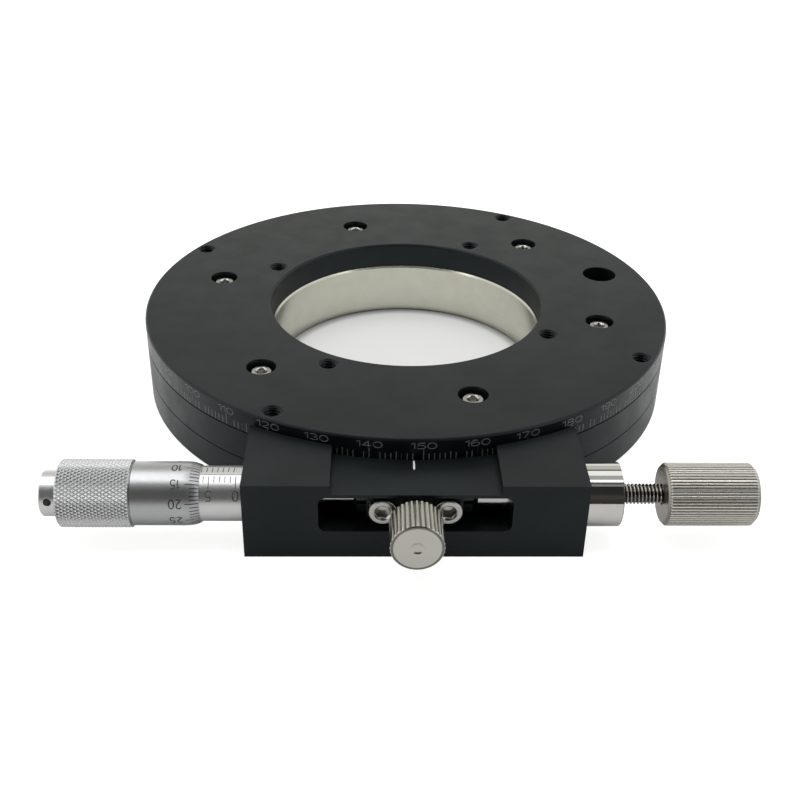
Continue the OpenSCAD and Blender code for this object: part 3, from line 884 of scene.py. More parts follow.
GRIP_R = THIMBLE_BOX.radius(2)
KNOB_R = KNOB_BOX.radius(2)
CLAMP_R = CLAMP_BOX.radius(2)

BLACK = Anodised("anodised_black")
BLACK_BASE = Anodised("anodised_black_base", gloss=(0.38, 0.46), specks=0.25)
NICKEL = Metal(
    "nickel_bore", (0.60, 0.595, 0.515), (0.575, 0.57, 0.49), (0.18, 0.24), Grain.ROUND_Z, 3000, 0.02,
)
SATIN = Metal(
    "satin_sleeve", (0.84, 0.84, 0.84), (0.82, 0.822, 0.824), (0.33, 0.37), Grain.ROUND_X, 7000, 0.03,
)
CHROME = Metal(
    "chrome_barrel", (0.80, 0.79, 0.76), (0.77, 0.76, 0.735), (0.04, 0.07), Grain.ROUND_X, 4000, 0.01,
)
GROUND = Metal(
    "ground_steel", (0.66, 0.65, 0.63), (0.61, 0.605, 0.60), (0.14, 0.20), Grain.ROUND_X, 7000, 0.03,
)
RACE = Metal("race_steel", (0.56, 0.56, 0.57), (0.50, 0.50, 0.52), (0.14, 0.24), Grain.ROUND_Z, 7000, 0.04)
BALL = Metal("ball_steel", (0.66, 0.66, 0.67), (0.62, 0.62, 0.63), (0.05, 0.08))
# Near-black steel for the contact buttons, darker than plain hardened steel.
DARK_BUTTON_STEEL = Metal(
    "dark_button_steel", (0.060, 0.058, 0.060), (0.045, 0.044, 0.046), (0.24, 0.32), Grain.ROUND_X, 7000, 0.03,
)
SPRING = Metal("spring_wire", (0.42, 0.42, 0.43), (0.36, 0.36, 0.38), (0.22, 0.30))
STAINLESS = Metal(
    "stainless_screw", (0.62, 0.61, 0.58), (0.55, 0.54, 0.52), (0.18, 0.26), Grain.EVEN, 1500, 0.03,
)
BRASS = Metal("turned_brass", (0.66, 0.45, 0.17), (0.58, 0.39, 0.14), (0.20, 0.30), Grain.ROUND_Z, 5000, 0.05)
# These knurled finishes paint shade into their threads, knurls and flutes.
THREADED = KnurledMetal(
    "threaded_steel", (0.62, 0.60, 0.58), (0.52, 0.50, 0.48), (0.14, 0.22), Grain.ROUND_X, 3000, 0.03,
    root=1.62, crest=1.9, film=(0.05, 0.045, 0.04),
)
CLAMP_THREAD = Metal(
    "clamp_screw", (0.60, 0.58, 0.56), (0.50, 0.48, 0.46), (0.16, 0.24), Grain.ROUND_Y, 3000, 0.05,
)
THIMBLE_KNURL = KnurledMetal(
    "satin_thimble", (0.88, 0.88, 0.88), (0.86, 0.862, 0.864), (0.33, 0.37), Grain.ROUND_X, 7000, 0.03,
    root=GRIP_R - 0.22, crest=GRIP_R - 0.04, film=(0.56, 0.57, 0.58),
)
LOCK_NICKEL = KnurledMetal(
    "nickel_lock_knob", (0.84, 0.81, 0.75), (0.82, 0.79, 0.73), (0.27, 0.31), Grain.EVEN, 2500, 0.02,
    root=KNOB_R - 0.16, crest=KNOB_R - 0.02, film=(0.38, 0.36, 0.32),
)
CLAMP_NICKEL = KnurledMetal(
    "nickel_clamp_knob", (0.67, 0.655, 0.60), (0.66, 0.645, 0.59), (0.20, 0.24), Grain.EVEN, 2500, 0.02,
    axle=CLAMP_AXLE, root=CLAMP_R - 0.3, crest=CLAMP_R - 0.05, face=CLAMP_R - 0.6, film=(0.20, 0.19, 0.16),
)
RIM_MARKS = Filling("marks_rim", (0.26, 0.265, 0.265), (0.15, 0.155, 0.155))
WHITE_MARKS = Filling("marks_white", (0.66, 0.66, 0.65), (0.54, 0.54, 0.53))
DARK_MARKS = Filling("marks_dark", (0.028, 0.030, 0.034), (0.06, 0.06, 0.065))
GREY_MARKS = Filling("marks_grey", (0.06, 0.062, 0.066), (0.11, 0.11, 0.115))

Finish = Anodised | Metal | Filling

CARRIED: dict[str, Finish] = {
    "base_ring": BLACK_BASE,
    "drive_housing": BLACK,
    "housing_screws": STAINLESS,
    "bearing_outer_race": RACE,
    "bearing_inner_race": RACE,
    "bearing_retainer": BLACK_BASE,
    "retainer_screws": STAINLESS,
    "bearing_lock_ring": BLACK_BASE,
    "bearing_cage": BRASS,
    "bearing_balls": BALL,
    "micrometer_sleeve": SATIN,
    "sleeve_set_screw": STAINLESS,
    "adjusting_nut": GROUND,
    "plunger_barrel": CHROME,
    "plunger_spring": SPRING,
    "drive_ring": BLACK_BASE,
    "drive_lug": BLACK,
    "lug_screws": STAINLESS,
    "contact_buttons": DARK_BUTTON_STEEL,
    "table_plate": BLACK,
    "hub_ring": NICKEL,
    "table_screws": STAINLESS,
    "clamp_pad": BRASS,
    "clamp_screw": CLAMP_THREAD,
    "clamp_knob": CLAMP_NICKEL,
    "spindle": GROUND,
    "lead_screw": THREADED,
    "thimble": THIMBLE_KNURL,
    "thimble_end_cap": SATIN,
    "plunger": GROUND,
    "lock_tip": BRASS,
    "lock_screw": THREADED,
    "lock_knob": LOCK_NICKEL,
}


def dress(
    piece: bpy.types.Object,
    body: Body,
    finish: Finish,
    stands_for: Sequence[str] = (),
) -> None:
    """Gives a finished piece its finish and its place in the part, and reports it.

    Args:
        piece: the finished piece.
        body: the body that it moves with.
        finish: its surface.
        stands_for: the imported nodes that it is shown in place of.
    """
    piece.data.materials.clear()
    piece.data.materials.append(finish.material())
    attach(piece, body.value)
    if stands_for:
        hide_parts(*stands_for)
    LOG.info("%s: %d faces on %s", piece.name, len(piece.data.polygons), body.value)


# ---------------------------------------------------------------- scales


class Tick(Enum):
    """The kinds of stroke on a scale."""

    SHORT = "short"
    MIDDLE = "middle"
    LONG = "long"


def kind_at(value: int) -> Tick:
    """Says which stroke stands at a value: long at tens, middling at fives, else short.

    Args:
        value: the stroke's value on the scale.

    Returns:
        The kind of stroke.
    """
    if value % 10 == 0:
        return Tick.LONG
    return Tick.MIDDLE if value % 5 == 0 else Tick.SHORT


@dataclass
class RimScale:
    """Degrees round the table's rim, numbered each ten."""

    rim_r: float = PLATE_BOX.radius(0)
    zero: float = -238.28
    foot_z: float = 13.72
    short: float = 1.6
    middle: float = 1.95
    long: float = 2.45
    stroke_w: float = 0.17
    number_z: float = 17.02
    number_h: float = 1.5
    digit_w: float = 1.9
    digit_stroke: float = 0.18
    digit_gap: float = 0.25

    def at(self, value: float, height: float) -> Bend:
        """Gives what bends a flat model onto the rim at a value and a height.

        Args:
            value: the value on the scale, in degrees.
            height: the height above the floor, in millimetres.

        Returns:
            What takes a vertex of the flat model to its place.
        """

        def place(co: Vector) -> Vector:
            """Bends one vertex of the flat model onto the rim.

            Args:
                co: the vertex, in metres.

            Returns:
                Its place in metres.
            """
            angle = math.radians(self.zero + value) + co.x / (self.rim_r * MM)
            radius = (self.rim_r + FLUSH) * MM + co.z
            return Vector((radius * math.cos(angle), radius * math.sin(angle), height * MM + co.y))

        return place

    def build(self) -> None:
        """Models the strokes and the numbers, and seats them on the table."""
        lengths = {Tick.SHORT: self.short, Tick.MIDDLE: self.middle, Tick.LONG: self.long}
        models = {kind: stroke(length, self.stroke_w) for kind, length in lengths.items()}
        lines = laid("rim_scale_lines", [(models[kind_at(v)], self.at(v, self.foot_z)) for v in range(360)])
        discard(models.values())
        dress(lines, Body.TABLE, RIM_MARKS)
        lettering = Lettering(self.number_h, self.digit_w, self.digit_stroke, self.digit_gap)
        numbers = [(str(v), self.at(v, self.number_z)) for v in range(0, 360, 10)]
        dress(lettering.lay("rim_scale_numbers", numbers), Body.TABLE, RIM_MARKS)


@dataclass
class SleeveScale:
    """Millimetres along the sleeve, read at the thimble's edge."""

    sleeve_r: float = SLEEVE_BOX.radius(2)
    zero_x: float = -33.2
    end_x: float = -46.0
    start_x: float = -32.05
    datum: float = 78.0
    last: int = 13
    line_gap: float = 5.5
    short: float = 14.5
    long: float = 28.0
    half_gap: float = 6.0
    half: float = 18.0
    stroke_w: float = 0.15
    number_at: float = 30.0
    number_h: float = 2.1
    digit_w: float = 1.25
    digit_stroke: float = 0.2
    digit_gap: float = 0.2

    def at(self, x: float, elevation: float) -> Bend:
        """Gives what bends a flat model onto the sleeve, upside down: up runs down the front.

        Args:
            x: the place along the drive's axle, in millimetres.
            elevation: the angle round the axle, in degrees.

        Returns:
            What takes a vertex of the flat model to its place.
        """

        def place(co: Vector) -> Vector:
            """Bends one vertex of the flat model onto the sleeve.

            Args:
                co: the vertex, in metres.

            Returns:
                Its place in metres.
            """
            angle = math.radians(elevation) - co.y / (self.sleeve_r * MM)
            radius = (self.sleeve_r + FLUSH) * MM + co.z
            return DRIVE_AXLE.round(x * MM - co.x, radius, angle)

        return place

    def along(self) -> Bend:
        """Gives what lays a flat stroke along the sleeve as its datum line."""
        turn = self.at(self.start_x, self.datum)
        return lambda co: turn(Vector((co.y, -co.x, co.z)))

    def arc(self, degrees: float) -> float:
        """Gives the length of an arc on the sleeve in millimetres."""
        return math.radians(degrees) * self.sleeve_r

    def build(self) -> None:
        """Models the datum line, the strokes and the numbers, and seats them on the sleeve."""
        below = self.datum - self.line_gap
        above = self.datum + self.half_gap + self.half
        datum = stroke(self.start_x - self.end_x, 0.8 * self.stroke_w)
        one = stroke(self.arc(self.short), self.stroke_w, 6)
        five = stroke(self.arc(self.long), self.stroke_w, 8)
        half = stroke(self.arc(self.half), self.stroke_w, 6)
        copies = [(datum, self.along())]
        for value in range(self.last):
            x = self.zero_x - value
            copies.append((one if value % 5 else five, self.at(x, below)))
            copies.append((half, self.at(x - 0.5, above)))
        dress(laid("sleeve_scale_lines", copies), Body.BASE, GREY_MARKS)
        discard((datum, one, five, half))
        lettering = Lettering(self.number_h, self.digit_w, self.digit_stroke, self.digit_gap)
        numbers = [(str(m), self.at(self.zero_x - m, self.number_at)) for m in range(0, self.last, 5)]
        dress(lettering.lay("sleeve_scale_numbers", numbers), Body.BASE, GREY_MARKS)


@dataclass
class ThimbleScale:
    """Hundredths of a millimetre round the thimble's edge: fifty to the turn."""

    edge_x: float = THIMBLE_BOX.high[0]
    edge_gap: float = 0.02
    divisions: int = 50
    anchor: float = 33.0
    anchor_value: float = 17.6
    short: float = 1.7
    long: float = 2.5
    stroke_w: float = 0.17
    number_gap: float = 4.25
    number_h: float = 1.95
    digit_w: float = 1.16
    digit_stroke: float = 0.23
    digit_gap: float = 0.2

    def elevation(self, value: float) -> float:
        """Gives the angle of a value round the thimble, up from the front, in degrees."""
        return self.anchor - (value - self.anchor_value) * 360 / self.divisions

    def at(self, x: float, value: float, radius_at: Callable[[float], float]) -> Bend:
        """Gives what bends a flat model onto the thimble, upside down, at a value.

        Args:
            x: the place along the thimble, in millimetres.
            value: the value on the scale.
            radius_at: gives the thimble's radius at a place along it.

        Returns:
            What takes a vertex of the flat model to its place.
        """

        def place(co: Vector) -> Vector:
            """Bends one vertex of the flat model onto the thimble's cone.

            Args:
                co: the vertex, in metres.

            Returns:
                Its place in metres.
            """
            along = x * MM - co.x
            surface = radius_at(along / MM)
            angle = math.radians(self.elevation(value)) - co.y / (surface * MM)
            return DRIVE_AXLE.round(along, (surface + FLUSH) * MM + co.z, angle)

        return place

    def build(self, radius_at: Callable[[float], float]) -> None:
        """Models the strokes and the numbers, and seats them on the thimble.

        Args:
            radius_at: gives the thimble's radius at a place along it.
        """
        short = stroke(self.short, self.stroke_w, 6)
        long = stroke(self.long, self.stroke_w, 8)
        copies = []
        for value in range(self.divisions):
            bend = self.at(self.edge_x - self.edge_gap, value, radius_at)
            model = short if value % 5 else long
            copies.append((model, lambda co, bend=bend: bend(Vector((co.y, -co.x, co.z)))))
        dress(laid("thimble_scale_lines", copies), Body.THIMBLE, DARK_MARKS)
        discard((short, long))
        lettering = Lettering(self.number_h, self.digit_w, self.digit_stroke, self.digit_gap)
        number_x = self.edge_x - self.number_gap
        numbers = [(str(v), self.at(number_x, v, radius_at)) for v in range(0, self.divisions, 5)]
        dress(lettering.lay("thimble_scale_numbers", numbers), Body.THIMBLE, DARK_MARKS)


# ---------------------------------------------------------------- fasteners


@dataclass
class CapScrew:
    """A socket head cap screw, modelled with its head's top at the origin and its shank down."""

    head_d: float
    head_h: float
    thread_d: float
    shank: float
    socket_af: float
    socket_depth: float
    rim: float = 0.32
    mouth: float = 0.22
    tip_chamfer: float = 0.3
    under_chamfer: float = 0.1
    edge: float = 0.05
    around: int = 48

    def model(self, name: str) -> bpy.types.Object:
        """Turns the screw, cuts its socket and breaks its edges.

        Args:
            name: the piece's name.

        Returns:
            The screw.
        """
        head_r, thread_r = self.head_d / 2, self.thread_d / 2
        tip = -(self.head_h + self.shank)
        screw = turned(
            name,
            STAGE_AXLE,
            [
                (tip, thread_r - self.tip_chamfer),
                (tip + self.tip_chamfer, thread_r),
                (-self.head_h, thread_r),
                (-self.head_h, head_r - self.under_chamfer),
                (-self.head_h + self.under_chamfer, head_r),
                (-self.rim, head_r),
                (-0.35 * self.rim, head_r - 0.3 * self.rim),
                (0, head_r - self.rim),
            ],
            self.around,
        )
        corner = self.socket_af / 2 / math.cos(math.pi / 6)
        top = 0.5
        bpy.ops.object.select_all(action="DESELECT")
        bpy.ops.mesh.primitive_cylinder_add(
            vertices=6,
            radius=corner * MM,
            depth=(self.socket_depth + top) * MM,
            location=(0, 0, (top - self.socket_depth) / 2 * MM),
        )
        cut_away(screw, named_last("socket"))
        flare = corner + self.mouth
        bpy.ops.object.select_all(action="DESELECT")
        bpy.ops.mesh.primitive_cone_add(
            vertices=self.around,
            radius1=(corner - self.mouth) * MM,
            radius2=(flare + self.mouth) * MM,
            depth=3 * self.mouth * MM,
            location=(0, 0, -0.5 * self.mouth * MM),
        )
        cut_away(screw, named_last("mouth"))
        break_edges(screw, self.edge, 30)
        return screw


def copied(model: bpy.types.Object, name: str, place: Matrix) -> bpy.types.Object:
    """Copies a model, mesh and all, to a place.

    Args:
        model: the piece that is copied.
        name: the copy's name.
        place: where the model's origin goes, in metres.

    Returns:
        The copy, its place in its mesh.
    """
    copy = model.copy()
    copy.data = model.data.copy()
    copy.name = name
    copy.data.name = name
    bpy.context.scene.collection.objects.link(copy)
    copy.data.transform(place)
    return copy


def to_circle(radius: float, degrees: float, height: float = 0.0) -> Matrix:
    """Gives the move from the origin to a place on a circle about the stage's axis."""
    angle = math.radians(degrees)
    return Matrix.Translation(Vector((radius * math.cos(angle), radius * math.sin(angle), height)) * MM)


# ---------------------------------------------------------------- sub-assemblies


@dataclass
class Table:
    """The table: its plate, six cap screws, eight tapped holes and the rim scale."""

    top_z: float = PLATE_BOX.high[2]
    under_z: float = 13.5
    edge: float = 0.12
    screw_r: float = 45.0
    screw_top_z: float = CAP_SCREW_BOX.high[2]
    screw_count: int = 6
    screw_angle: float = 46.0
    socket_turn: float = 0.61
    tap_radii: tuple[float, float] = (35.5, 57.0)
    tap_count: int = 4
    tap_angle: float = 61.0
    tap_r: float = 1.995
    tap_root_r: float = 1.93
    tap_crest_r: float = 1.62
    tap_pitch: float = 0.7
    tap_around: int = 28
    tap_rings: int = 9
    tap_above_foot: float = 0.05
    tap_below_top: float = 0.28

    def plate(self) -> None:
        """Breaks the plate's edges."""
        plate = merged_copy("table_plate", "table")
        break_edges(plate, self.edge)
        dress(plate, Body.TABLE, BLACK, ["table_plate"])

    def screws(self) -> None:
        """Models one cap screw, and puts a copy in each counterbore."""
        model = CapScrew(
            head_d=4.5, head_h=2.5, thread_d=2.5, shank=5.0, socket_af=2.0, socket_depth=1.3
        ).model("table_screw")
        for i in range(self.screw_count):
            place = to_circle(self.screw_r, self.screw_angle + i * 360 / self.screw_count, self.screw_top_z)
            turn = Matrix.Rotation(self.socket_turn * i, 4, "Z")
            screw = copied(model, f"table_screw_{i + 1}", place @ turn)
            dress(screw, Body.TABLE, STAINLESS, ["table_screws"])
        discard([model])

    def taps(self) -> None:
        """Models one tapped thread, and puts a copy in each mounting hole."""
        foot, head = self.under_z + self.tap_above_foot, self.top_z - self.tap_below_top
        rings = int((head - foot) / self.tap_pitch * self.tap_rings)
        inner = [(head - (head - foot) * i / rings, self.tap_root_r) for i in range(rings + 1)]
        model = turned(
            "tap_thread",
            STAGE_AXLE,
            [(foot, self.tap_r), (head, self.tap_r), *inner],
            self.tap_around,
            hollow=True,
        )
        for vertex in model.data.vertices:
            radius, _ = STAGE_AXLE.polar(vertex.co)
            if radius < self.tap_r - 0.02:
                crest = 1 - thread_depth(STAGE_AXLE, vertex.co, self.tap_pitch, (foot - 1, head + 0.2))
                factor = (self.tap_root_r - (self.tap_root_r - self.tap_crest_r) * crest) / radius
                vertex.co.x *= factor
                vertex.co.y *= factor
        smooth(model, 60)
        for ring, radius in enumerate(self.tap_radii):
            for i in range(self.tap_count):
                place = to_circle(radius, self.tap_angle + i * 360 / self.tap_count)
                name = f"table_tap_{'inner' if ring == 0 else 'outer'}_{i + 1}"
                dress(copied(model, name, place), Body.TABLE, BLACK)
        discard([model])

    def build(self) -> None:
        """Builds the table's pieces in order."""
        self.plate()
        self.screws()
        self.taps()
        RimScale().build()


@dataclass
class Frame:
    """The black bodies under the table: base ring, drive ring, lug and housing, and the index."""

    edge: float = 0.12
    index_x: float = -0.1
    index_y: float = -63.85
    index_len: float = 2.9
    index_w: float = 0.34
    floor_z: float = 14.3
    lug_head_d: float = 5.5
    socket_turn: float = 0.4

    def bodies(self) -> None:
        """Breaks the edges of each black body."""
        for node, name, body, finish in (
            ("base_ring", "base", Body.BASE, BLACK_BASE),
            ("drive_housing", "housing", Body.BASE, BLACK),
            ("drive_ring", "ring", Body.DRIVE, BLACK_BASE),
            ("drive_lug", "lug", Body.DRIVE, BLACK),
        ):
            piece = merged_copy(node, name)
            break_edges(piece, self.edge)
            dress(piece, body, finish, [node])

    def index(self) -> None:
        """Models the white index stroke on the housing's recess."""
        shift = Vector((self.index_x, self.index_y, self.floor_z + FLUSH)) * MM
        model = stroke(self.index_len, self.index_w)
        dress(laid("index_line", [(model, lambda co: co + shift)]), Body.BASE, WHITE_MARKS)
        discard([model])

    def screws(self) -> None:
        """Models the lug's cap screws, heads to the front."""
        model = CapScrew(
            head_d=self.lug_head_d,
            head_h=3.0,
            thread_d=3.0,
            shank=12.8,
            socket_af=2.5,
            socket_depth=1.6,
            rim=0.5,
            mouth=0.25,
        ).model("lug_screw")
        forward = Matrix.Rotation(math.pi / 2, 4, "X")
        reach = LUG_SCREW_BOX.radius(0) - self.lug_head_d / 2
        for i, side in enumerate((-1, 1)):
            head = Vector((side * reach, LUG_SCREW_BOX.low[1], LUG_SCREW_BOX.middle(2)))
            place = Matrix.Translation(head * MM)
            turn = Matrix.Rotation(self.socket_turn + i, 4, "Z")
            screw = copied(model, f"lug_screw_{i + 1}", place @ forward @ turn)
            dress(screw, Body.DRIVE, STAINLESS, ["lug_screws"])
        discard([model])

    def build(self) -> None:
        """Builds the frame's pieces in order."""
        self.bodies()
        self.index()
        self.screws()


@dataclass
class Thimble:
    """The micrometer's thimble: eased edge, plain part and diamond knurl."""

    edge_x: float = THIMBLE_BOX.high[0]
    end_x: float = THIMBLE_BOX.low[0]
    bore_r: float = SLEEVE_BOX.radius(2) + 0.05
    edge_r: float = SLEEVE_BOX.radius(2) + 0.2
    plain_r: float = 6.0
    grip_r: float = GRIP_R
    screw_r: float = 2.52
    ease: float = 3.6
    plain: float = 12.8
    rear_wall: float = 1.6
    neck_start: float = 0.3
    neck_end: float = 0.12
    neck_depth: float = 0.2
    end_chamfer: float = 0.3
    knurl_start: float = 0.1
    knurl_depth: float = 0.22
    knurl_around: int = 54
    knurl_rows: int = 21

    def radius_at(self, x: float) -> float:
        """Gives the radius of the thimble's eased edge and plain part at a place along it."""
        share = min(1.0, max(0.0, (self.edge_x - x) / self.ease))
        return self.edge_r + (self.plain_r - self.edge_r) * (1 - (1 - share) ** 3)

    def body(self) -> None:
        """Turns the thimble, and presses the diamond knurl into its grip."""
        grip_x = self.edge_x - self.plain
        floor_x = self.end_x + self.rear_wall
        edge = [self.edge_x - self.ease * i / 8 for i in range(9)]
        first = grip_x - self.knurl_start
        last = self.end_x + self.end_chamfer
        rows = [first + (last - first) * i / self.knurl_rows for i in range(self.knurl_rows + 1)]
        piece = turned(
            "thimble_body",
            DRIVE_AXLE,
            [
                (self.edge_x, self.bore_r),
                *((x, self.radius_at(x)) for x in edge),
                (grip_x + self.neck_start, self.plain_r),
                (grip_x + self.neck_end, self.plain_r - self.neck_depth),
                (grip_x, self.plain_r - self.neck_depth),
                (grip_x, self.grip_r - self.knurl_depth),
                *((x, self.grip_r) for x in rows),
                (self.end_x, self.grip_r - self.end_chamfer),
                (self.end_x, self.screw_r),
                (floor_x, self.screw_r),
                (floor_x, self.bore_r),
            ],
            2 * self.knurl_around,
            hollow=True,
        )
        step = math.pi / self.knurl_around
        pitch = (first - last) / self.knurl_rows

        def is_valley(co: Vector) -> bool:
            """Tells the knurl's valleys from its crests.

            Args:
                co: the vertex, in metres.

            Returns:
                Whether the vertex is one of the knurl's valleys.
            """
            radius, angle = DRIVE_AXLE.polar(co)
            if radius < self.grip_r - 0.01:
                return False
            return (round(angle / step) + round((first - co.x / MM) / pitch)) % 2 == 1

        with edit_mode(piece):
            choose(is_valley)
            bpy.ops.transform.resize(
                value=DRIVE_AXLE.widen(1 - self.knurl_depth / self.grip_r),
                center_override=DRIVE_AXLE.point(0),
            )
            choose(lambda co: DRIVE_AXLE.polar(co)[0] > self.grip_r - self.knurl_depth - 0.01)
            bpy.ops.mesh.quads_convert_to_tris(quad_method="SHORTEST_DIAGONAL")
        smooth(piece, 24)
        dress(piece, Body.THIMBLE, THIMBLE_KNURL, ["thimble"])

    def build(self) -> None:
        """Builds the thimble and the two micrometer scales."""
        self.body()
        SleeveScale().build()
        ThimbleScale().build(self.radius_at)


def press_grooves(
    piece: bpy.types.Object, axle: Axle, crest: float, count: int, depths: Sequence[float]
) -> None:
    """Presses straight grooves into the widest part of a turned knob.

    Args:
        piece: the knob, with len(depths) vertices round it to each groove.
        axle: the knob's line.
        crest: the radius that is grooved, in millimetres.
        count: the number of grooves.
        depths: how deep each vertex of one groove's pattern goes, in millimetres.
    """
    step = 2 * math.pi / (count * len(depths))
    with edit_mode(piece):
        for place, depth in enumerate(depths):
            if depth == 0:
                continue
            choose(
                lambda co: abs(axle.polar(co)[0] - crest) < 0.004
                and round(axle.polar(co)[1] / step) % len(depths) == place
            )
            bpy.ops.transform.resize(value=axle.widen(1 - depth / crest), center_override=axle.point(0))


@dataclass
class LockScrew:
    """The plunger's lock: a threaded rod with a plain shoulder, and its knurled knob."""

    tip_x: float = ROD_BOX.low[0]
    rod_end_x: float = ROD_BOX.high[0]
    knob_x: float = KNOB_BOX.low[0]
    end_x: float = KNOB_BOX.high[0]
    rod_r: float = 2.0
    rod_around: int = 36
    rod_rings: int = 10
    tip_chamfer: float = 0.35
    thread_start: float = 0.5
    thread_in_knob: float = 0.4
    bore_gap: float = 0.02
    bore_past_rod: float = 0.2
    thread_depth: float = 0.42
    pitch: float = 0.7
    knob_r: float = KNOB_R
    chamfer: float = 0.6
    end_chamfer: float = 0.8
    grooves: int = 60
    groove: Sequence[float] = (0, 0, 0.05, 0.26, 0.05, 0)

    def rod(self) -> None:
        """Turns the rod, and cuts its thread."""
        first, last = self.tip_x + self.thread_start, self.knob_x + self.thread_in_knob
        rings = int((last - first) / self.pitch * self.rod_rings)
        piece = turned(
            "lock_rod",
            DRIVE_AXLE,
            [
                (self.tip_x, self.rod_r - self.tip_chamfer),
                (self.tip_x + self.tip_chamfer, self.rod_r),
                *((first + (last - first) * i / rings, self.rod_r) for i in range(rings + 1)),
                (self.rod_end_x, self.rod_r),
            ],
            self.rod_around,
        )
        for vertex in piece.data.vertices:
            radius, _ = DRIVE_AXLE.polar(vertex.co)
            station = DRIVE_AXLE.station(vertex.co)
            if radius > self.rod_r - 0.01 and first - 0.01 < station < last + 0.01:
                depth = self.thread_depth * thread_depth(DRIVE_AXLE, vertex.co, self.pitch, (first, last))
                centre = DRIVE_AXLE.point(station)
                vertex.co = centre + (vertex.co - centre) * (1 - depth / radius)
        smooth(piece, 40)
        dress(piece, Body.LOCK_SCREW, THREADED, ["lock_screw"])

    def knob(self) -> None:
        """Turns the knob, and presses its straight knurl."""
        piece = turned(
            "lock_grip",
            DRIVE_AXLE,
            [
                (self.rod_end_x + self.bore_past_rod, self.rod_r + self.bore_gap),
                (self.knob_x, self.rod_r + self.bore_gap),
                (self.knob_x, self.knob_r - self.chamfer),
                (self.knob_x + self.chamfer / 2, self.knob_r - self.chamfer / 2),
                (self.knob_x + self.chamfer, self.knob_r),
                (self.end_x - self.end_chamfer, self.knob_r),
                (self.end_x - self.end_chamfer / 2, self.knob_r - self.end_chamfer / 2),
                (self.end_x, self.knob_r - self.end_chamfer),
            ],
            len(self.groove) * self.grooves,
        )
        press_grooves(piece, DRIVE_AXLE, self.knob_r, self.grooves, self.groove)
        smooth(piece, 24)
        dress(piece, Body.LOCK_SCREW, LOCK_NICKEL, ["lock_knob"])

    def build(self) -> None:
        """Builds the lock's rod and knob."""
        self.rod()
        self.knob()


@dataclass
class ClampKnob:
    """The clamp screw's knob: coarse flutes, eased ends and a centre-drilled face."""

    back_y: float = CLAMP_BOX.high[1]
    end_y: float = CLAMP_BOX.low[1]
    bore_depth: float = 5.2
    bore_r: float = 2.02
    knob_r: float = CLAMP_R
    back_chamfer: float = 0.35
    front_edge: Profile = ((0.3, 0), (0.12, 0.12), (0, 0.28))
    flutes: int = 32
    flute: Sequence[float] = (0, 0.03, 0.2, 0.3, 0.2, 0.03)
    dimple: Profile = ((0, 1.25), (0.08, 1.12), (0.22, 0.85), (0.26, 0.4), (0.22, 0.1))

    def build(self) -> None:
        """Turns the knob, and presses its flutes."""
        piece = turned(
            "clamp_grip",
            CLAMP_AXLE,
            [
                (self.back_y - self.bore_depth, self.bore_r),
                (self.back_y, self.bore_r),
                (self.back_y, self.knob_r - self.back_chamfer),
                (self.back_y - self.back_chamfer, self.knob_r),
                *((self.end_y + back, self.knob_r - drop) for back, drop in self.front_edge),
                *((self.end_y + depth, radius) for depth, radius in self.dimple),
            ],
            len(self.flute) * self.flutes,
        )
        press_grooves(piece, CLAMP_AXLE, self.knob_r, self.flutes, self.flute)
        smooth(piece, 26)
        dress(piece, Body.CLAMP_SCREW, CLAMP_NICKEL, ["clamp_knob"])


def finish_carried_nodes() -> None:
    """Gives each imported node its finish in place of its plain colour."""
    for node, finish in CARRIED.items():
        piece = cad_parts[node]
        material = finish.material()
        for slot in piece.material_slots:
            slot.material = material
        if not piece.material_slots:
            piece.data.materials.append(material)
        LOG.info("%s: finish %s", node, finish.name)


# ---------------------------------------------------------------- studio


